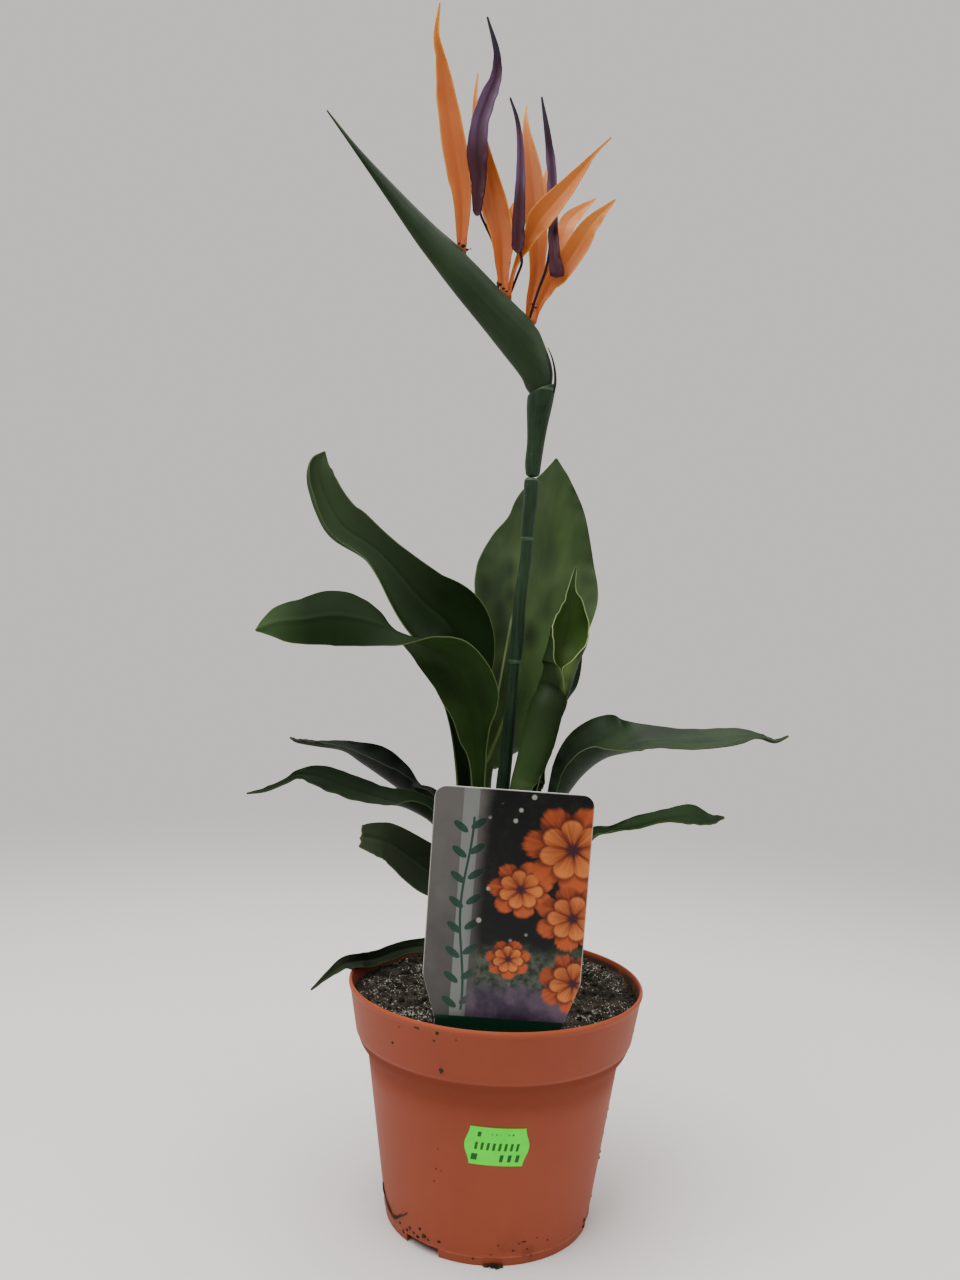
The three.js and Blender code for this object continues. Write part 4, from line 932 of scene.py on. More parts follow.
leaves = {
    "leaf_upper_left": {
        "slot": "leaf_green", "along": 170, "stalkEnd": 4, "seed": 1, "ripple": 0.3,
        "look": {
            "deep": tint(13, 24, 8), "mid": tint(21, 37, 13), "back": tint(50, 62, 44),
            "rim": 0.25, "gloss": 0.05,
            # the lighter tip tone is a painted highlight where the upper blade faces up to the light
            "tip": tint(64, 80, 54), "tipShare": 0.9, "tipFrom": 0.52, "tipTo": 0.8,
        },
        "bumps": [(8.6, 1, 1.6, 0.45)],
        "rows": [
            (-14, 7, 80, 3, -10, 60), (-15, 8, 120, 3, -10, 60), (-16.5, 8, 160, 3, -10, 55),
            (-18, 7, 189, 3.5, -10, 50), (-20.5, 4.5, 214.5, 5.5, 0, 45),
            (-20.5, 3.5, 232.5, 13.5, 0, 30), (-26, 5.5, 256, 18.5, 5, 20, 60, 0),
            (-41.5, 12, 270, 15, 5, 20, 80, 0), (-62, 19, 291, 9, 5, 30, 110, 0),
            (-80, 20, 303, 11, 0, 40, 140, 0), (-89.5, 19, 318.5, 9, -5, 45, 150, 0),
            (-91.5, 18, 328.5, 6.5, -10, 35, 120, 0), (-89, 18, 336.5, 0.4, -10, 0),
        ],
    },
    "leaf_twisted_left": {
        "slot": "leaf_green", "along": 170, "stalkEnd": 2.4, "seed": 2, "ripple": 0.4,
        "look": {
            "deep": tint(25, 41, 15), "mid": tint(39, 60, 25), "back": tint(20, 35, 12),
            "rim": 0.3, "gloss": 0.06,
            # the lighter tip tone is partly the paler underside and partly painted light on the far blade,
            # lit from above
            "tip": tint(62, 86, 50), "tipShare": 0.85, "tipFrom": 0.8, "tipTo": 1.0,
        },
        "rows": [
            (-10, -9, 80, 3, 0, 60), (-10.5, -9.5, 125, 3, 0, 60), (-11.5, -11, 190, 3, 0, 50),
            (-14, -12, 211, 7.5, 0, 40, 0, 60), (-16, -13, 227, 12.5, 2, 30),
            (-24, -16, 240.5, 12.5, 8, 22), (-34.5, -19.5, 248, 11.5, 46, 22),
            (-47, -22.5, 252.3, 10, 96, 30), (-59.5, -25, 257, 11.5, 138, 22),
            (-74, -27, 259.2, 13, 155, 12), (-87, -29, 257, 10.5, 160, 10),
            (-98, -30, 255.5, 7.5, 160, 10), (-107, -30, 252, 0.4, 160, 0),
        ],
    },
    "leaf_dark_left": {
        "slot": "leaf_dark", "along": 140, "stalkEnd": 2.4, "seed": 3,
        "look": {
            # painted shade: the blade's near-black colour stands for the shade it lies in; it lightens
            # towards the tip
            "deep": tint(10, 16, 9), "mid": tint(17, 26, 15), "back": tint(12, 19, 10),
            "rim": 0.08, "gloss": 0.08,
            "tip": tint(30, 36, 28), "tipShare": 0.7, "tipFrom": 0.5, "tipTo": 0.9,
        },
        "rows": [
            (-13, 15, 80, 2.5, -50, 60), (-15, 16, 125, 2.5, -50, 60), (-19, 16.5, 155, 3, -55, 60),
            (-31.5, 17, 175.5, 8, -86, 60), (-42, 19, 179, 12, -98, 60), (-52.5, 22, 185, 16, -87, 60),
            (-64.5, 25, 192.5, 14, -78, 60), (-75.5, 28, 198, 6, -78, 55), (-88.5, 30, 199.5, 4, -93, 40),
            (-97, 31, 200.5, 3, -92, 30), (-102, 32, 202, 0.4, -92, 0),
        ],
    },
    "leaf_low_left": {
        "slot": "leaf_dark", "along": 140, "stalkEnd": 2.4, "seed": 4,
        "look": {
            "deep": tint(13, 23, 10), "mid": tint(24, 39, 18), "back": tint(25, 40, 19),
            "rim": 0.1, "gloss": 0.07,
        },
        "rows": [
            (-16, -2, 80, 2.5, -45, 60), (-18, -3, 125, 3, -45, 60), (-22.5, -6, 155, 3.5, -50, 60),
            (-28.5, -10, 170.5, 8, -72, 70), (-40, -14, 178.5, 11, -90, 60),
            (-51.5, -17, 182, 8.5, -74, 25), (-66, -20, 186.5, 7, -55, 20), (-78, -23, 191, 6, -50, 15),
            (-87, -25, 192, 2.6, -45, 30), (-93, -26, 189, 1.6, -60, 30),
            (-101, -27, 185.5, 1.5, -70, 20), (-108.5, -28, 184, 0.4, -90, 0),
        ],
    },
    "leaf_cut_left": {
        "slot": "leaf_green", "along": 110, "stalkEnd": 1.8, "seed": 5, "cut": 1.6,
        "look": {
            "deep": tint(16, 24, 12), "mid": tint(27, 36, 21), "back": tint(20, 28, 16), "gloss": 0.12,
            "tip": tint(44, 54, 35), "tipShare": 0.8, "tipFrom": 0.55, "tipTo": 0.95,
        },
        "rows": [
            (-3, -15, 80, 3.5, -20, 60), (-5, -17, 112, 4, -25, 55), (-11, -22, 138, 6, -30, 45),
            (-18.5, -30, 149.5, 8.5, -30, 30), (-30.5, -36, 156.5, 10, -28, 20),
            (-44.5, -41, 167, 8, -28, 20), (-50.5, -45, 170, 7, -28, 15), (-58.5, -49, 172, 4.5, -28, 10),
        ],
    },
    "leaf_over_rim": {
        "slot": "leaf_pale", "along": 140, "stalkEnd": 0.9, "seed": 6,
        "look": {
            "deep": tint(21, 30, 15), "mid": tint(36, 48, 25), "back": tint(25, 35, 18), "gloss": 0.1,
            "tip": tint(36, 46, 27), "tipShare": 0.6, "tipFrom": 0.45, "tipTo": 0.75,
        },
        "rows": [
            (-3, 19, 80, 2.5, -70, 50), (-6, 21, 103, 3, -70, 45), (-24, 33, 106.5, 3.8, -60, 35),
            (-33, 42, 102, 4, -45, 30), (-44, 39, 101, 3.5, -40, 30), (-56, 22, 101, 3.5, -35, 30),
            (-62.5, 8, 104, 3.2, -45, 30), (-68, -3, 105.5, 3, -50, 30),
            (-74.5, -12, 102.5, 1.2, -40, 40), (-79, -20, 100, 0.4, -40, 0),
        ],
    },
    "leaf_broad_rear": {
        "slot": "leaf_pale", "along": 150, "stalkEnd": 2.4, "seed": 7,
        "bumps": [(8.5, -1, -2, 0.3)],
        "look": {
            "rib": 0.9, "ribEnd": 0.58, "rim": 0.3, "gloss": 0.2,
            # the light blade colour is partly painted light falling on and through the leaf's face
            "deep": tint(48, 66, 35), "mid": tint(72, 95, 50),
            "spots": [
                (-12, 275.6, 6, 0.75), (-0.5, 285.7, 5, 0.75), (0, 273.8, 5, 0.75), (-4, 255, 7, 0.75),
                (10, 255, 7, 0.75), (-5, 266, 6, 0.75), (-10, 286, 15, 0.35), (-7, 268, 16, 0.4),
            ],
            "streaks": [(-4.4, 225, 266, 0.14)],
        },
        "rows": [
            (-6, 8.5, 80, 3, -5, 60), (-7, 9, 130, 3, -5, 60), (-9, 10, 188, 3.5, -5, 50),
            (-7, 10, 199, 7, -8, 40), (-1.5, 13, 214, 16.5, -12, 35), (4, 17, 234.5, 23.5, -14, 30),
            (7.5, 21, 257, 28, -14, 30), (11, 25, 277.5, 31, -12, 25), (14, 30, 296, 25.5, -10, 20),
            (17.5, 34, 317.5, 17, -8, 20), (19.5, 37, 331, 8, -4, 10), (20, 39, 341.5, 0.4, 0, 0),
        ],
    },
    "leaf_rolled": {
        "slot": "leaf_green", "along": 150, "stalkEnd": 3, "seed": 8, "ripple": 0.3, "across": 40,
        "look": {
            "deep": tint(44, 68, 28), "mid": tint(68, 96, 42), "rim": 0.8,
            "back": tint(52, 72, 36), "backTip": tint(24, 37, 14), "backFrom": 0.3, "backTo": 0.55,
            # painted light: pale patches near the rolled leaf's mouth lift the shade there
            "spots": [(26, 243, 7, 0.9), (24.5, 233, 3, 0.9)], "spot": tint(92, 116, 58),
        },
        "rows": [
            (5, -6, 80, 4.5, 0, 75), (5, -6.5, 125, 6.5, -15, 95), (4.2, -6, 158, 10, -40, 125),
            (3.8, -5, 175, 12.3, -50, 138), (4.4, -4, 188.9, 14.2, -62, 152),
            (5.6, -4.6, 195.6, 15.2, -75, 165), (6.9, -5.5, 202.4, 18.4, -85, 176),
            (7.9, -5.5, 209, 20.3, -90, 176), (9.5, -5, 217, 20.6, -90, 176),
            (11.5, -3.3, 225, 20.8, -80, 176), (15.3, 1.1, 231.2, 21.1, -42, 176),
            (21.3, 3.6, 238.4, 21.8, 0, 176), (23.6, 4.4, 246, 18, 0, 140),
            (25.3, 5.5, 252.3, 15.8, -2, 113), (26.7, 6, 259, 14, 0, 100), (27.2, 4.5, 265.7, 11, 0, 90),
            (27.2, 1.4, 271.5, 6.2, 0, 80), (26.6, -1.6, 276.7, 1.9, 0, 60), (27.7, -5, 286, 0.4, 0, 0),
        ],
    },
    "leaf_dark_rear": {
        "slot": "leaf_dark", "along": 110, "stalkEnd": 2.4, "seed": 9,
        "look": {
            # painted light: the blade colour is lifted to fill the shade this rear leaf lies in
            "deep": tint(34, 46, 36), "mid": tint(48, 62, 50), "back": tint(44, 58, 46),
        },
        "rows": [
            (6, 15, 80, 3, 0, 60), (8, 17, 130, 3, 0, 60), (14, 22, 180, 3.5, 5, 50),
            (19.5, 27, 220.5, 7.5, 5, 35), (23, 34, 238, 12.5, 0, 25), (25, 44, 269, 11, 0, 20),
            (25.5, 55, 290, 8, 0, 20), (23, 66, 300, 0.8, 0, 0),
        ],
    },
    "leaf_long_right": {
        "slot": "leaf_grey", "along": 160, "stalkEnd": 2.4, "seed": 10,
        "look": {
            "deep": tint(25, 39, 22), "mid": tint(43, 60, 35), "back": tint(30, 45, 25),
        },
        "bumps": [(6.6, -1, 1.6, 0.5)],
        "rows": [
            (14, -3, 80, 3, 50, 65), (15.5, -4, 120, 3.5, 50, 65), (19, -4.5, 158, 4.5, 60, 65),
            (25, -5, 181, 9, 80, 70), (30, -5, 190.5, 16, 84, 72), (36.5, -5.5, 198.5, 22, 84, 68),
            (44, -6, 204.5, 23, 80, 58), (53, -8, 208.5, 18, 73, 38), (63, -9, 211.5, 10.5, 66, 22),
            (82, -10, 212, 7.5, 60, 15), (100, -12, 214.5, 6, 60, 15), (109.5, -13, 215.5, 2.5, 75, 30),
            (116, -14, 214, 2, 90, 20), (121.5, -15, 216.5, 0.6, 90, 0),
        ],
    },
    "leaf_short_right": {
        "slot": "leaf_green", "along": 120, "stalkEnd": 3.4, "seed": 11,
        "look": {
            "deep": tint(15, 30, 9), "mid": tint(26, 48, 15), "back": tint(25, 42, 17), "gloss": 0.08,
        },
        "rows": [
            (10, -15, 80, 2.5, 40, 60), (14, -17, 120, 2.5, 50, 60), (23, -20, 150, 2.5, 60, 60),
            (36, -24, 170.5, 3, 60, 55), (45.5, -26, 174.5, 2, 60, 50), (55, -28, 177.5, 4, 60, 35),
            (66.5, -30, 181.5, 4, 62, 20), (77.5, -31, 182.5, 6.5, 60, 20), (85, -32, 181.5, 3.5, 60, 15),
            (91, -33, 183, 0.5, 60, 0),
        ],
    },
    "leaf_young_tip": {
        "slot": "leaf_pale", "along": 60, "stalkEnd": 1.6, "seed": 12,
        "rows": [
            (7, 5, 80, 2, 20, 80), (9.5, 4, 130, 2.5, 20, 90), (14.5, 2, 181.5, 3, 20, 95),
            (16.5, 2, 188, 2, 20, 80), (17.5, 2, 194.5, 0.6, 20, 0),
        ],
    },
}

for node, leaf in leaves.items():
    points, faces, fields = sheet({**leafSheet, **leaf}, leaf["rows"])
    finish = leafFinish(node, {**leafPlain, **leafLooks[leaf["slot"]], **leaf.get("look", {})})
    keep(meshPiece(node + "_fine", points, faces, finish, fields), leaf["slot"], node)
print("leaves done:", len(leaves))

stem = {
    "sides": 40,
    "upperSides": 48,
    "skin": (tint(20, 38, 22), tint(38, 60, 36)),
    "ringTone": tint(104, 132, 104),
    "dust": tint(120, 128, 110),
    "rings": ((243, 1.1), (297.9, 1.0), (325, 1.2), (364.3, 0.9)),  # height and half width
    "lower": [  # x, z, radius
        (-5, 80, 3.2), (-5, 95, 3.2), (-3.1, 140, 3.1), (-0.3, 188, 3.1), (0.6, 199, 2.8),
        (1.4, 217, 2.9), (2, 235, 2.5), (2.5, 242.4, 2.45), (2.6, 243.4, 2.95), (3.4, 252.7, 2.9),
        (3.8, 270.6, 2.7), (5.5, 288.6, 2.5), (5.7, 297, 2.5), (5.8, 298.4, 2.85), (6.2, 309.6, 3.1),
        (6.75, 315.4, 3.2), (6.7, 322.6, 3.3), (6.7, 324.4, 3.0), (6.8, 325.3, 1.9),
    ],
    "upper": [  # x, z, half width, half depth, tilt
        (7.1, 325.9, 2.0, 2.0, 0), (7.1, 326.6, 2.9, 2.9, 0), (7.1, 328, 3.3, 3.3, 0),
        (7.15, 332.4, 3.7, 3.7, 0), (7.9, 341, 3.95, 3.95, 2), (8.4, 349.5, 4.8, 4.8, 6),
        (9, 357.5, 6, 6, 14), (9.5, 363.6, 6.8, 6.5, 23), (9.5, 364.4, 6.6, 6.3, 23.6),
        (9.45, 364.3, 6.1, 5.8, 23.6), (9.7, 360.6, 5.3, 5.2, 20),
    ],
}


def stemFinish():
    finish = Finish("flowerStem", rough=0.45, specular=0.25)
    x, y, z = finish.split(finish.place())
    cloud = finish.noise(30, 4)
    grain = finish.noise(1, 3, finish.join(x * 900, y * 900, z * 30))
    colour = finish.mottle(*stem["skin"], cloud * 0.5 + grain * 0.5)
    for height, size in stem["rings"]:
        ring = abs(z - height * mm).step(size * 0.4 * mm, size * mm, 1.0, 0.0)
        colour = finish.mix(colour, stem["ringTone"], ring * 0.35)
    dust = finish.noise(300, 4).step(0.62, 0.75)
    colour = finish.mix(colour, stem["dust"], dust * 0.12)
    finish.bump(grain + cloud * 0.4, 0.0002, 0.4)
    return finish.use(colour, 0.42 + cloud * 0.14)


def ringRows(rows, samples):
    table = [(x, 0, z, plane, deep, tilt) for x, z, plane, deep, tilt in rows]
    at = np.linspace(0, len(table) - 1, samples * (len(table) - 1) + 1)
    return rowsAt(table, at), at


def ellipseRings(values, sides, shape=None):  # shape may change a ring's points in its own plane
    grid = []
    for i, (x, y, z, plane, deep, tilt) in enumerate(values[:, :6]):
        ring = []
        for k in range(sides):
            turn = 2 * math.pi * k / sides
            u, v = plane * math.cos(turn), deep * math.sin(turn)
            if shape:
                u, v = shape(i, turn, u, v)
            tiltTurn = math.radians(tilt)
            ring.append((x + u * math.cos(tiltTurn), y + v, z + u * math.sin(tiltTurn)))
        grid.append(ring)
    return np.array(grid) * mm


def makeStems():
    finish = stemFinish()
    table = [(x, 0, z, radius) for x, z, radius in stem["lower"]]
    at = np.linspace(0, len(table) - 1, 10 * (len(table) - 1) + 1)
    line = rowsAt(table, at)
    base = lineObject("stemPath", line[:, :3] * mm, line[:, 3] * mm)
    tree = sweepTree()
    piece = tree.run(base, "stemLower_fine", {"Sides": stem["sides"], "Material": finish})
    drop(base)
    print("stem swept:", len(piece.data.polygons), "faces")
    keep(piece, "flower_stem", "stem_lower")
    values, _ = ringRows(stem["upper"], 8)
    points, faces, _ = ringBody(ellipseRings(values, stem["upperSides"]))
    upper = meshPiece("stemUpper_fine", points, faces, finish, sharpAngle=60)
    keep(upper, "flower_stem", "stem_upper")


makeStems()
print("stems done")

spathe = {
    "sides": 72,
    "slotDepth": 0.5,  # the slot that the flowers stand in
    "slotWidth": 0.44,
    "slotFrom": 4.6,
    "slotTo": 9.6,
    "skin": (tint(26, 42, 22), tint(42, 60, 34)),
    "dots": tint(96, 106, 82),
    # painted shade: near-black colour for the shaded slit beside the outer sheath
    "slitShade": tint(8, 14, 7),
    "sheath": (  # x, y, z, radius
        (11.6, -1.5, 383.2, 0.2), (13.6, -2, 378.4, 0.35), (14.9, -2.4, 373, 0.5),
        (15.3, -2.6, 367.6, 0.6), (14.6, -2.6, 363, 0.7),
    ),
    "rows": [  # x, z, half width, half depth, tilt
        (9.75, 361.1, 4.6, 4.4, 20), (9.6, 362.4, 5, 4.8, 22), (9.2, 365.2, 5.5, 5.2, 26),
        (8.2, 369.5, 7.1, 5.6, 34), (5.6, 376, 8, 6.1, 42), (-2, 388, 10, 6.8, 46),
        (-8.5, 395, 9.6, 6.5, 45), (-15, 401.5, 9, 6.1, 45), (-22, 408.8, 8.6, 5.8, 45),
        (-29, 416, 8, 5.4, 46), (-37.5, 424.5, 6.8, 4.6, 44), (-46, 433, 5.5, 3.8, 43),
        (-59.5, 448, 3.5, 2.4, 41), (-77.5, 468.5, 1.3, 0.9, 41), (-91.5, 485.5, 0.35, 0.35, 40),
    ],
}


def spatheFinish():
    finish = Finish("spatheSkin", rough=0.42, specular=0.22)
    x, y, z = finish.split(finish.place())
    cloud = finish.noise(22, 4)
    lengthwise = (x * 0.72 - z * 0.69) * 18
    across = (x * 0.69 + z * 0.72) * 520
    streak = finish.noise(1, 3, finish.join(lengthwise, across, y * 520))
    colour = finish.mottle(*spathe["skin"], cloud * 0.7 + streak * 0.3)
    dots = finish.noise(420, 3).step(0.7, 0.78)
    colour = finish.mix(colour, spathe["dots"], dots * 0.25)
    bend = x - 0.0132 + (z - 0.371) ** 2 * 9 + (z - 0.371) * 0.16  # painted shade in the slit beside the outer sheath
    slitShade = bend.step(-0.0008, 0.0002) * z.step(0.3835, 0.379, 0.0, 1.0) * z.step(0.362, 0.365)
    colour = finish.mix(colour, spathe["slitShade"], slitShade * 0.9)
    finish.bump(streak * 0.5 + cloud * 0.4, 0.0002, 0.3)
    return finish.use(colour, 0.4 + cloud * 0.14)


def makeSpathe():
    values, at = ringRows(spathe["rows"], 9)

    def shape(i, turn, u, v):
        away = math.remainder(turn, 2 * math.pi)
        begun, left = (at[i] - spathe["slotFrom"]) / 0.9, (spathe["slotTo"] - at[i]) / 0.9
        inside = float(smooth(begun) * smooth(left))
        dip = spathe["slotDepth"] * inside * math.exp(-((away / spathe["slotWidth"]) ** 4))
        return u * (1 - dip), v * (1 + 0.03 * math.cos(turn))

    body = ringBody(ellipseRings(values, spathe["sides"], shape))
    sheath = tube([row[:3] for row in spathe["sheath"]], [row[3] for row in spathe["sheath"]])
    points, faces, _ = together(body, sheath)
    piece = meshPiece("spathe_fine", points, faces, spatheFinish(), sharpAngle=70)
    keep(piece, "spathe_green", "spathe")


makeSpathe()
print("spathe done")

petalSheet = {  # thickness and relief of a sepal, millimetres
    "edge": 0.45,
    "rib": 1.3,
    "stalkEdge": 0.5,
    "stalkRib": 1.4,
    "stalkEnd": 0,
    "groove": 0.25,
    "keel": 0.35,
    "ripple": 0.6,
    "along": 80,
    "across": 16,
}

tongueSheet = {**petalSheet, "edge": 0.6, "rib": 2.0, "stalkRib": 2.0, "groove": 0.5}

petalTones = {
    "orange": (tint(180, 88, 22), tint(192, 98, 32)),
    "centre": tint(164, 66, 16),
    "margin": tint(230, 156, 36),
    "tip": tint(226, 150, 50),
    "lit": tint(228, 138, 62),  # upper right
    "root": tint(186, 98, 50),
    "dirt": tint(60, 38, 26),
    "purple": (tint(56, 15, 27), tint(74, 26, 43)),
    "fold": tint(38, 12, 26),
    # painted sheen on the tongues' upper halves
    "lilacSheen": tint(112, 84, 118),
    "darkTip": tint(44, 40, 56),
    "stalk": tint(34, 20, 27),
}

sepals = {  # rows as for a sheet
    "floret_left": [
        [
            (-28, -0.4, 425, 1.3, 0, 30), (-28.8, -0.4, 428.5, 2, 0, 30), (-29.5, -1, 447.5, 4, 0, 30),
            (-33, -2, 466, 5.5, 0, 30), (-38, -3.5, 490.5, 4.5, 0, 30), (-41, -5, 506.5, 2.5, 0, 30),
            (-43.5, -7.5, 517, 1.2, 0, 30), (-42.5, -10, 529.5, 0.3, 0, 0),
        ],
    ],
    "floret_middle": [
        [
            (-8.4, 0, 406, 1.6, 0, 30), (-9.8, 1, 415, 2.5, 0, 30), (-11, 2, 432.5, 5, 0, 30),
            (-15, 3, 447.5, 6, 0, 30), (-21.5, 4, 472.5, 3.5, 0, 30), (-25.5, 6, 493, 1.2, 0, 30),
            (-25, 8, 509.5, 0.3, 0, 0),
        ],
        [
            (-6.6, -0.8, 403.6, 0.8, 0, 30), (-6.4, -2, 410, 0.8, 0, 30), (-4, -3.5, 420, 1.1, 0, 30),
            (2, -5, 432, 3.5, 0, 30), (6, -7, 439, 5.5, 0, 30), (17.5, -10, 452.5, 3.5, 0, 30),
            (27, -14, 464, 0.8, 0, 30), (34, -18, 470, 0.3, 0, 0),
        ],
        [
            (-8, -0.2, 405.2, 1, 0, 0), (-8.3, 0.8, 409.5, 1.1, 0, 10), (-8.5, 4.8, 416, 1.3, 0, 20),
            (-8.5, 6.2, 423, 1.6, 0, 20), (-8, 7, 433.5, 2.5, 0, 20), (-7.5, 7.5, 445.5, 1.4, 0, 20),
            (-6.5, 9, 451.5, 0.4, 0, 0),
        ],
    ],
    "floret_right": [
        [
            (3.6, -0.4, 394.6, 1.3, 0, 30), (3, 1.4, 401, 2, 0, 30), (5.5, 3.5, 420.5, 3.5, 0, 30),
            (4, 5, 443, 5, 0, 30), (1.5, 7.5, 464.5, 4.5, 0, 30), (-2, 10.5, 487, 1.4, 0, 30),
            (-2, 14, 499, 0.3, 0, 0),
        ],
        [
            (4, -0.4, 394.8, 1, 0, 0), (4.2, 0.8, 399.5, 1.1, 0, 10), (4.4, 6.3, 409, 1.3, 0, 20),
            (6, 8, 426, 2.5, 0, 20), (6.5, 11, 447.5, 3, 0, 20), (8, 15, 464.5, 1.5, 0, 20),
            (9.5, 20, 475.5, 0.4, 0, 0),
        ],
        [
            (4.8, -0.6, 394.4, 1, 0, 0), (6.5, -1.5, 401, 1.3, 0, 30), (11, -2.5, 410.5, 3, 0, 30),
            (15, -4.5, 415.5, 4.5, 0, 30), (22.5, -6, 427.5, 5, 0, 30), (28, -8.5, 436.5, 3.5, 0, 30),
            (37.5, -12, 446, 0.3, 0, 0),
        ],
        [
            (4.8, 0, 394.8, 1, 0, 0), (5.6, 1, 399.5, 1.1, 0, 10), (7.4, 5.5, 408, 1.4, 0, 25),
            (11.5, 7.5, 422.5, 2, 0, 25), (17, 10.5, 438.5, 3.5, 0, 25), (20.5, 14.5, 448, 3.5, 0, 25),
            (32, 20, 460, 0.3, 0, 0),
        ],
    ],
}

stubs = {  # path and radii of the short stalks under the sepals
    "floret_left": ([(-27.4, 0, 424), (-27.8, 0, 425.4), (-28.6, 0, 430)], (0.8, 1.3, 1.2)),
    "floret_middle": ([(-7.4, 0, 404.2), (-7.6, 0, 406), (-7.8, 0, 411)], (1.0, 1.8, 1.6)),
    "floret_right": ([(4.2, 0, 393.6), (4.4, 0, 395.4), (4.7, 0, 400)], (1.0, 1.8, 1.6)),
}

tongues = {
    "tongue_left": {
        "rows": [
            (-22.5, -3, 440.5, 1, 0, 0), (-22.5, -3, 442.5, 1.8, 0, 40), (-22.5, -3, 449.5, 2.7, 0, 40),
            (-22.5, -3, 456, 3.4, 0, 40), (-23.5, -3.5, 467, 4.7, 0, 40), (-23, -4, 480, 3.9, 0, 40),
            (-20, -4.5, 491, 3.6, 0, 40), (-16.5, -5.5, 501.5, 2.3, 0, 40), (-17, -6.5, 512, 1.2, 0, 40),
            (-21.5, -8, 525.5, 0.4, 0, 0),
        ],
        "stalk": [
            (-11.8, 1, 408.8), (-11.9, 2.1, 411.8), (-11.6, 4.6, 416.5), (-12.4, 6.6, 424),
            (-15.2, 7, 433), (-18.6, 5, 439), (-20.8, 1.2, 442), (-22.3, -1.6, 446),
        ],
    },
    "tongue_middle": {
        "rows": [
            (-4, -8.5, 422.5, 0.8, 0, 0), (-4, -8.5, 425.5, 2.5, 0, 40), (-4, -8, 436, 2.7, 0, 40),
            (-4, -7.5, 450.5, 2.1, 0, 40), (-4.5, -7, 468, 1.4, 0, 40), (-6.5, -7.5, 481, 0.7, 0, 40),
            (-10, -8, 490.5, 0.4, 0, 0),
        ],
        "stalk": [
            (-6.2, 0.6, 407.5), (-5, 0.6, 411), (-3.4, -0.6, 415.4), (-1.9, -3.4, 419.2),
            (-2.2, -5.6, 422), (-3.8, -7.2, 427),
        ],
    },
    "tongue_right": {
        "rows": [
            (13.5, -9.5, 412.5, 2.9, 0, 0), (13.5, -9.5, 414.5, 3.1, 0, 40),
            (12.5, -8.5, 420.5, 2.5, 0, 40), (11.5, -5.5, 432, 2.1, 0, 40), (11, -2, 446.5, 1.9, 0, 40),
            (9.5, -1.5, 464.5, 1.9, 0, 40), (7, -2.5, 479.5, 1.1, 0, 40), (4, -3, 494, 0.4, 0, 0),
        ],
        "stalk": [
            (3, -0.9, 396.5), (4, -1.8, 401), (6.3, -2.8, 409), (8.9, -4, 417), (10, -4.9, 424),
            (10.4, -4.5, 431), (11.2, -2.6, 438),
        ],
    },
}


def sepalFinish():
    finish = Finish("sepalSkin", rough=0.48, specular=0.35)
    length, t, width = finish.split(finish.attribute("blade"))
    along, under, _ = finish.split(finish.attribute("place"))
    x, y, z = finish.split(finish.place())
    margin = width * (1 - abs(t))
    streak = finish.noise(1, 3, finish.join(length * 0.06, t * width * 1.6, under * 3))
    cloud = finish.noise(40, 3)
    colour = finish.mottle(*petalTones["orange"], streak * 0.4 + cloud * 0.6)
    off = t + 0.25
    centre = off.step(0.0, 0.5, 1.0, 0.0) * off.step(-0.5, 0.0) * along.step(0.1, 0.85, 1.0, 0.0)
    colour = finish.mix(colour, petalTones["centre"], centre * 0.45)
    rim = margin.step(0.1, 0.9, 1.0, 0.0) * along.step(0.15, 0.45)
    colour = finish.mix(colour, petalTones["margin"], rim * 0.6)
    colour = finish.mix(colour, petalTones["tip"], along.step(0.65, 1.0) * 0.6)
    lit = x.step(-0.006, 0.02) * z.step(0.418, 0.44)
    colour = finish.mix(colour, petalTones["lit"], lit * 0.55)
    root = along.step(0.02, 0.16, 1.0, 0.0)
    colour = finish.mix(colour, petalTones["root"], root * 0.5)
    dirt = finish.noise(160, 4).step(0.55, 0.7) * along.step(0.0, 0.06, 1.0, 0.0)
    colour = finish.mix(colour, petalTones["dirt"], dirt * 0.5)
    finish.bump(streak + cloud * 0.3, 0.00018, 0.35)
    return finish.use(colour, 0.44 + cloud * 0.12)


def tongueFinish():
    finish = Finish("tongueSkin", rough=0.5, specular=0.2)
    length, t, width = finish.split(finish.attribute("blade"))
    along, under, _ = finish.split(finish.attribute("place"))
    streak = finish.noise(1, 3, finish.join(length * 0.08, t * width * 1.4, under * 3))
    cloud = finish.noise(60, 4)
    colour = finish.mottle(*petalTones["purple"], streak * 0.6 + cloud * 0.4)
    off = abs(t - 0.15)
    colour = finish.mix(colour, petalTones["fold"], off.step(0.02, 0.4, 1.0, 0.0) * 0.6)
    # painted sheen: lilac lightening in the upper half, stronger towards the sides
    lilacSheen = along.step(0.42, 0.58) * along.step(0.72, 0.86, 1.0, 0.0)
    colour = finish.mix(colour, petalTones["lilacSheen"], lilacSheen * (0.25 + off.step(0.2, 0.7) * 0.45))
    colour = finish.mix(colour, petalTones["darkTip"], along.step(0.74, 0.92) * 0.9)
    colour = finish.mix(colour, petalTones["stalk"], along.step(0.0, 0.01, 1.0, 0.0) * 0.9)
    finish.bump(streak + cloud * 0.4, 0.0002, 0.4)
    return finish.use(colour, 0.42 + cloud * 0.12)


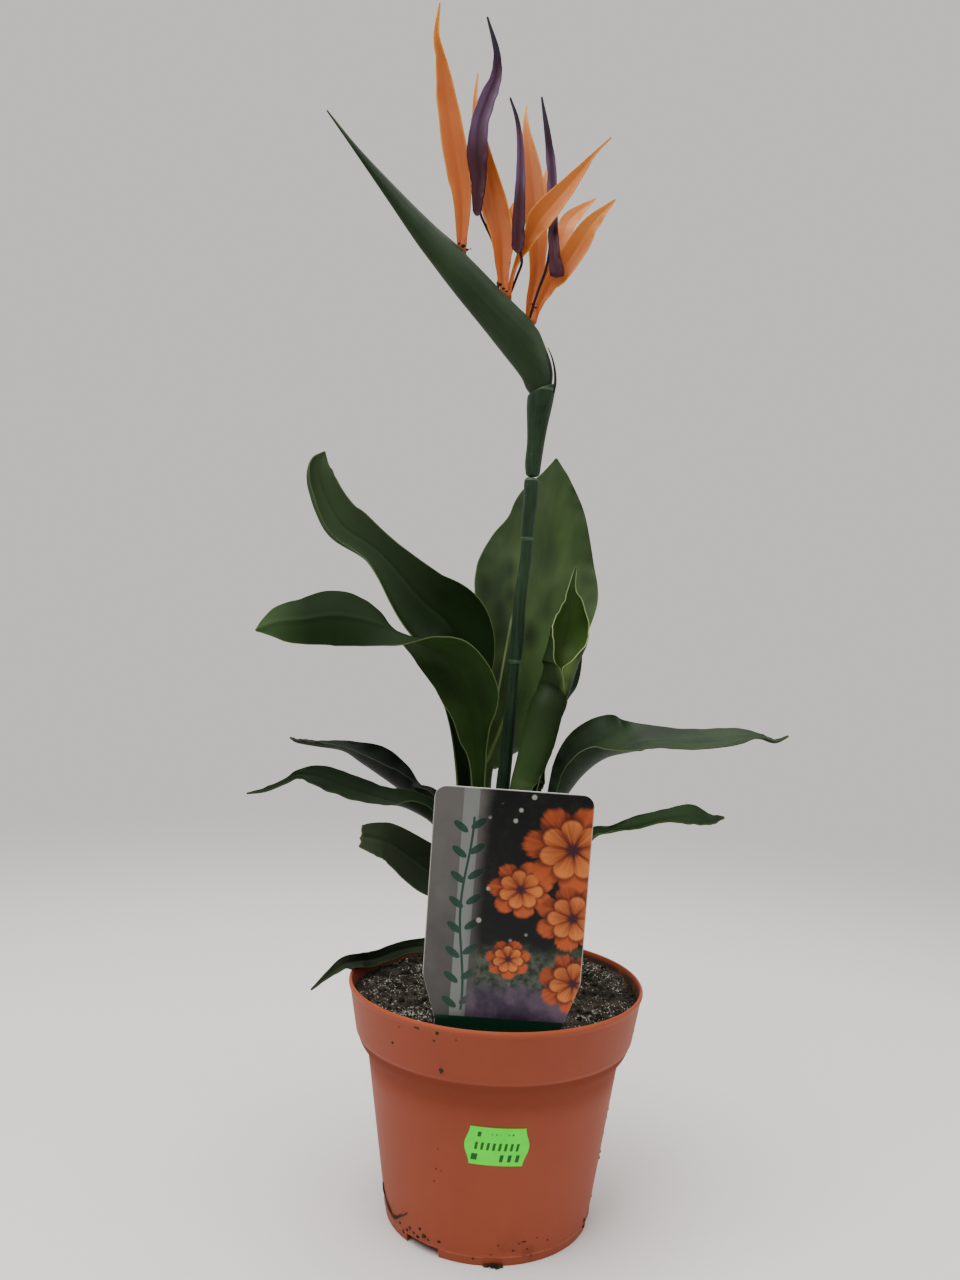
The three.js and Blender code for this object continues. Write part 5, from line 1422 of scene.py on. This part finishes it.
def makeFlower():
    orange = sepalFinish()
    purple = tongueFinish()
    for seed, (node, group) in enumerate(sepals.items()):
        chunks = [sheet({**petalSheet, "seed": seed + 20 + i}, rows) for i, rows in enumerate(group)]
        path, radii = stubs[node]
        chunks.append(tube(path, radii, sides=14))
        points, faces, fields = together(*chunks)
        keep(meshPiece(node + "_fine", points, faces, orange, fields), "sepal_orange", node)
    for seed, (node, form) in enumerate(tongues.items()):
        blade = sheet({**tongueSheet, "seed": seed + 40}, form["rows"])
        stalk = tube(form["stalk"], [0.6] * len(form["stalk"]), sides=10)
        points, faces, fields = together(blade, stalk)
        keep(meshPiece(node + "_fine", points, faces, purple, fields), "tongue_purple", node)


flecks = (  # dark crumbs at the roots of the sepals: x, y, z, size
    (-28.1, -2.5, 426.6, 2.2), (-30, -2.2, 427.6, 1.4), (-26.2, -2.6, 425, 1.5), (-24.8, -1.5, 425.8, 0.8),
    (-11, -3, 410, 1.8), (-9.4, -3.2, 408.2, 1.5), (-7.9, -3.2, 407, 1.3), (-12.4, -2.6, 410.8, 0.9),
    (3.9, -4, 401.6, 1.6), (5.1, -3.8, 400.2, 1.3), (-7, -3, 419.8, 0.7), (-1.8, -1, 422.2, 1.3),
)


def makeFlecks():
    chunks = []
    for i, (x, y, z, size) in enumerate(flecks):
        chunks.append(crumbAt(Vector((x, y, z)), Vector((0, -1, 0)), size, size * 0.7, i + 120))
    points, faces, _ = together(*chunks)
    finish = grainFinish("rootCrumb", tint(18, 14, 12), tint(44, 34, 28), 0.9)
    keep(meshPiece("sepalCrumbs", points, faces, finish), "potting_soil")


makeFlower()
makeFlecks()
print("flower done")

card = {  # millimetres
    "half": 31.0,
    "footHalf": 25.0,
    "shoulder": 22.0,
    "top": 97.0,
    "corner": 5.0,
    "thick": 0.8,
    "depth": -20.0,
    "stakeTip": 2.0,
    "stakeHalf": 7.0,
    "base": (0, -55, 98),
    "lean": (0.0292, -0.0729),
    "stripe": 14.5,  # where the pale stripe stands, from the left
    "band": 9.0,  # height of the foot band
    "blooms": (  # across, up, size, petals, turn; some are cut by the edge
        (33, 33, 9, 7, 0.5), (59, 25, 14, 7, 0.9), (36, 61, 13, 7, 0.2), (55, 78, 20, 7, 0.4),
        (57, 51, 15, 7, 1.4),
    ),
}


def addBloom(finish, colour, x, y, bloom):  # a round many-petalled bloom with a second ring of petals
    left, height, size, petals, turn = bloom
    dx = x - left
    dy = (y - height) * 1.12
    radius = (dx * dx + dy * dy) ** 0.5
    angle = finish.add("ShaderNodeMath", {"operation": "ARCTAN2"}, {0: dy, 1: dx})
    spot = finish.join((angle + turn).sine() * 9, (angle - turn).sine() * 9, radius * 0.06)
    ray = finish.noise(1, 4, spot)
    outer = abs((angle * (petals / 2) + turn).sine()) ** 0.6
    inner = abs((angle * (petals / 2) + turn + 1.57).sine()) ** 0.6
    reach = radius / (size * (0.72 + 0.28 * outer) * (0.9 + ray * 0.2))
    second = radius / (size * 0.68 * (0.7 + 0.3 * inner))
    lean = (dx - dy) / size * 0.14  # the left side of each bloom lies in shade
    far = (outer * 0.4 + reach * 0.45 + ray * 0.6 + lean).step(0.55, 1.2)
    near = (inner * 0.35 + second * 0.5 + ray * 0.6 + lean).step(0.5, 1.2)
    petal = finish.mix(tint(78, 22, 14), tint(178, 82, 38), far)
    upper = finish.mix(tint(104, 32, 16), tint(206, 116, 56), near)
    petal = finish.mix(petal, tint(60, 18, 16), second.step(1.0, 1.25, 1.0, 0.0) * 0.6)
    petal = finish.mix(petal, upper, second.step(0.9, 1.02, 1.0, 0.0))
    colour = finish.mix(colour, petal, reach.step(0.9, 1.04, 1.0, 0.0))
    heart = (radius / size + ray * 0.2).step(0.18, 0.32, 1.0, 0.0)
    return finish.mix(colour, tint(44, 20, 36), heart * 0.9)


def cardFinish():
    finish = Finish("cardPrint", rough=0.34, specular=0.2)
    u, v = finish.flatPlace()
    x = u * 62
    y = v * 100
    haze = finish.noise(1, 4, finish.join(x * 0.06, y * 0.05))
    grain = finish.noise(1, 4, finish.join(x * 0.3, y * 0.3))
    grey = finish.mottle(tint(70, 68, 66), tint(96, 93, 90), haze * 0.6 + v * 0.4, 0.3, 0.7)
    off = x - card["stripe"]
    grey = finish.mix(grey, tint(126, 130, 126), abs(off).step(2.9, 3.3, 1.0, 0.0) * 0.75)
    stalk = abs(off - (y * 0.09).sine() * 1.5).step(0.35, 0.6, 1.0, 0.0)
    cell = (y * 0.1).fraction() - 0.5
    side = off.step(-0.5, 0.5, -1.0, 1.0)
    away = off * side
    blade = ((away - 3.4) / 3) ** 2 + ((cell * 10 - side * 0.8 - away * 0.55 + 1.7) / 1.7) ** 2
    sprig = stalk.most(blade.step(0.86, 1.0, 1.0, 0.0)) * y.step(11, 12) * y.step(88, 89, 1.0, 0.0)
    grey = finish.mix(grey, tint(20, 60, 46), sprig * 0.95)
    dark = finish.mottle(tint(7, 7, 8), tint(26, 31, 23), haze * 0.6 + grain * 0.4, 0.5, 0.75)
    cells = finish.add("ShaderNodeTexVoronoi", {}, {"Vector": finish.join(x * 0.13, y * 0.13), "Scale": 1.0})
    glow = cells.step(0.1, 0.17, 1.0, 0.0) * haze.step(0.46, 0.54)
    dark = finish.mix(dark, tint(172, 170, 160), glow * 0.75)
    moss = (haze * 14 - y).step(-34, -26) * y.step(8, 16)
    dark = finish.mix(dark, finish.mottle(tint(40, 52, 40), tint(92, 100, 84), grain), moss * 0.7)
    violet = (grain * 10 + haze * 10 - y).step(-16, -8)
    dusk = finish.mottle(tint(58, 40, 66), tint(96, 78, 98), haze, 0.4, 0.6)
    dark = finish.mix(dark, dusk, violet * 0.8)
    panel = (x + haze * 8 - y * 0.02).step(18, 26)
    colour = finish.mix(grey, dark, panel)
    for bloom in card["blooms"]:
        colour = addBloom(finish, colour, x, y, bloom)
    band = y.step(card["band"] - 0.2, card["band"] + 0.2, 1.0, 0.0)
    colour = finish.mix(colour, tint(16, 50, 34), band)
    edge = (31 - abs(x - 31)).step(0.25, 0.5, 1.0, 0.0).most(y.step(99.5, 99.8))
    colour = finish.mix(colour, tint(186, 182, 176), edge * 0.5)
    finish.bump(grain, 0.00005, 0.3)
    return finish.use(colour, 0.28 + grain * 0.12)


def cardBackFinish():
    finish = Finish("cardPlastic", rough=0.4)
    cloud = finish.noise(30, 3)
    colour = finish.mottle(tint(206, 203, 196), tint(188, 185, 178), cloud, 0.3, 0.7)
    low = finish.split(finish.place())[2].step(0.094, 0.102, 1.0, 0.0)  # soil on the stake
    colour = finish.mix(colour, tint(96, 82, 68), low * finish.noise(240, 4).step(0.45, 0.6))
    finish.bump(cloud, 0.00008, 0.3)
    return finish.use(colour, 0.36 + cloud * 0.1)


def makeCard():
    half, foot, corner, top = card["half"], card["footHalf"], card["corner"], card["top"]
    deep, stake = card["depth"], card["stakeHalf"]
    right = [(card["stakeTip"], deep), (stake, deep + stake), (foot, 0), (foot, 4), (half, card["shoulder"])]
    arc = [(half - corner + corner * math.cos(a), top - corner + corner * math.sin(a))
           for a in np.linspace(0, math.pi / 2, 9)]
    outline = right + arc + [(-x, z) for x, z in reversed(right + arc)]
    lean = card["lean"]
    up = Vector((lean[0], lean[1], 1)).normalized()
    across = Vector((1, 0, -lean[0])).normalized()
    front = across.cross(up)
    base = Vector(card["base"])
    count = len(outline)
    points, uv = [], []
    for lift in (0.5, -0.5):
        for x, z in outline:
            points.append((base + across * x + up * z + front * lift * card["thick"]) * mm)
            uv.append(((x + half) / (2 * half), (z + 3) / 100))
    faces = [tuple(range(count)), tuple(range(2 * count - 1, count - 1, -1))]
    faces += [(i, i + count, (i + 1) % count + count, (i + 1) % count) for i in range(count)]
    points = np.array([tuple(p) for p in points])
    piece = meshPiece("plantLabel_fine", points, outward(points, faces), cardFinish(), sharpAngle=30, uv=uv)
    piece.data.materials.append(cardBackFinish())
    for face in piece.data.polygons:
        if face.normal.dot(front) < 0.9:
            face.material_index = 1
    soften = piece.modifiers.new("soften", "BEVEL")
    soften.width = 0.0002
    soften.segments = 2
    soften.limit_method = "ANGLE"
    keep(piece, "label_card", "plant_label")


makeCard()
print("label done")

sticker = {  # millimetres
    "wide": 26.0,
    "endWide": 22.0,
    "high": 16.0,
    "centre": (1.8, 52.0),
    "lift": 0.06,
    "thick": 0.2,
    "cells": (56, 28),
    "turn": 2.0,
    "paper": (tint(44, 246, 10), tint(66, 255, 26)),
    "ink": tint(24, 30, 24),
}


def stickerFinish():
    finish = Finish("stickerPaper", rough=0.55, specular=0.3)
    u, v = finish.flatPlace()
    cloud = finish.noise(180, 4)
    colour = finish.mottle(*sticker["paper"], cloud, 0.3, 0.7)
    slant = u - v * 0.09

    def bar(x, y, wide, high, ticks=0.0):  # a block of ink, cut into ticks
        shape = abs(slant - x).step(wide - 0.006, wide, 1.0, 0.0)
        shape = shape * abs(v - y).step(high - 0.012, high, 1.0, 0.0)
        if ticks:
            shape = shape * abs((slant * ticks).fraction() - 0.5).step(0.2, 0.26, 1.0, 0.0)
        return shape

    ink = bar(0.45, 0.5, 0.36, 0.105, 11.0).most(bar(0.14, 0.2, 0.05, 0.09))
    ink = ink.most(bar(0.66, 0.2, 0.19, 0.1, 8.0)).most(bar(0.15, 0.81, 0.03, 0.07))
    ink = ink.most(bar(0.5, 0.83, 0.2, 0.03, 16.0) * cloud.step(0.4, 0.6))
    colour = finish.mix(colour, sticker["ink"], ink * 0.92)
    finish.bump(cloud, 0.00004, 0.3)
    return finish.use(colour, 0.5 + cloud * 0.1)


def makeSticker():
    wideCells, highCells = sticker["cells"]
    centreX, centreZ = sticker["centre"]
    turn = math.radians(-sticker["turn"])
    sheets, uv = [], []
    for lift in (sticker["lift"] + sticker["thick"], sticker["lift"]):
        for i in range(highCells + 1):
            v = -1 + 2 * i / highCells
            bulge = 0.5 + 0.5 * math.cos(math.pi * v)
            half = (sticker["endWide"] + (sticker["wide"] - sticker["endWide"]) * bulge) / 2
            for j in range(wideCells + 1):
                u = -1 + 2 * j / wideCells
                flatX, flatZ = u * half, v * sticker["high"] / 2
                s = centreX + flatX * math.cos(turn) - flatZ * math.sin(turn)
                z = centreZ + flatX * math.sin(turn) + flatZ * math.cos(turn)
                radius = bodyRadius(z) + lift
                angle = -math.pi / 2 + s / bodyRadius(centreZ)
                sheets.append((radius * math.cos(angle) * mm, radius * math.sin(angle) * mm, z * mm))
                uv.append((flatX / sticker["wide"] + 0.5, v / 2 + 0.5))
    points = np.array(sheets)
    faces = outward(points, doubleFaces(highCells, wideCells))
    piece = meshPiece("priceSticker_fine", points, faces, stickerFinish(), uv=uv)
    keep(piece, "sticker_paper", "price_sticker")


makeSticker()
print("sticker done")

stage = {
    "floorReach": 2.0,
    "clearFrom": 0.32,  # the floor fades out from here, metres from the origin
    "clearTo": 1.1,
    "paper": tint(236, 234, 232),
    "air": tint(206, 202, 198),
    "wallLight": 1.22,  # behind the plant
    "roomLight": 0.36,  # behind the camera
}


def makeStage():
    finish = Finish("paleFloor", rough=0.8, specular=0.2)
    x, y, _ = finish.split(finish.place())
    away = (x * x + y * y) ** 0.5
    finish.use(stage["paper"])
    clear = away.step(stage["clearFrom"], stage["clearTo"], 1.0, 0.0)
    finish.feed(finish.shader.inputs["Alpha"], clear)
    reach = stage["floorReach"]
    corners = [(-reach, -reach, 0), (reach, -reach, 0), (reach, reach, 0), (-reach, reach, 0)]
    floor = meshPiece("floor", corners, [(0, 1, 2, 3)], finish.material)
    world = bpy.data.worlds.new("air")
    world.use_nodes = True
    air = world.node_tree.nodes["Background"]
    air.inputs[0].default_value = stage["air"]
    sky = Nodes(world.node_tree)
    back = sky.split(sky.add("ShaderNodeTexCoord", out="Generated"))[1]
    sky.feed(air.inputs[1], back.step(-0.5, 0.5, stage["roomLight"], stage["wallLight"]))
    bpy.context.scene.world = world


softBoxes = {  # place, size in metres, power in watts
    "windowLight": ((-0.55, -0.55, 1.4), 1.1, 20),
    "fillLight": ((0.9, -0.6, 1.1), 1.0, 6),
    "topLight": ((0.05, 0.05, 1.6), 1.1, 14),
}


def softBox(name, place, size, power):
    light = bpy.data.lights.new(name, "AREA")
    light.size = size
    light.energy = power
    lamp = placed(name, light)
    lamp.location = place
    aim = Vector((0, 0, 0.22)) - Vector(place)  # at the middle of the plant
    lamp.rotation_euler = aim.to_track_quat("-Z", "Y").to_euler()


view = {  # metres and degrees
    "place": (-0.0133, -0.4577, 0.252),
    "roll": 2.4,
    "focalPixels": 1024.6,
    "framePixels": 1280,  # the picture's height
    "sensor": 36.0,  # millimetres
}


def makeCamera():
    data = bpy.data.cameras.new("camera")
    data.sensor_fit = "VERTICAL"
    data.sensor_height = view["sensor"]
    data.lens = view["focalPixels"] / view["framePixels"] * view["sensor"]
    data.clip_start = 0.01
    camera = placed("camera", data)
    lean = math.radians(view["roll"])
    right = Vector((math.cos(lean), 0, math.sin(lean)))
    up = Vector((-math.sin(lean), 0, math.cos(lean)))
    back = Vector((0, -1, 0))
    turn = Matrix((right, up, back)).transposed().to_4x4()
    camera.matrix_world = Matrix.Translation(view["place"]) @ turn
    bpy.context.scene.camera = camera


makeStage()
for name, (place, size, power) in softBoxes.items():
    softBox(name, place, size, power)
makeCamera()
print("stage done")
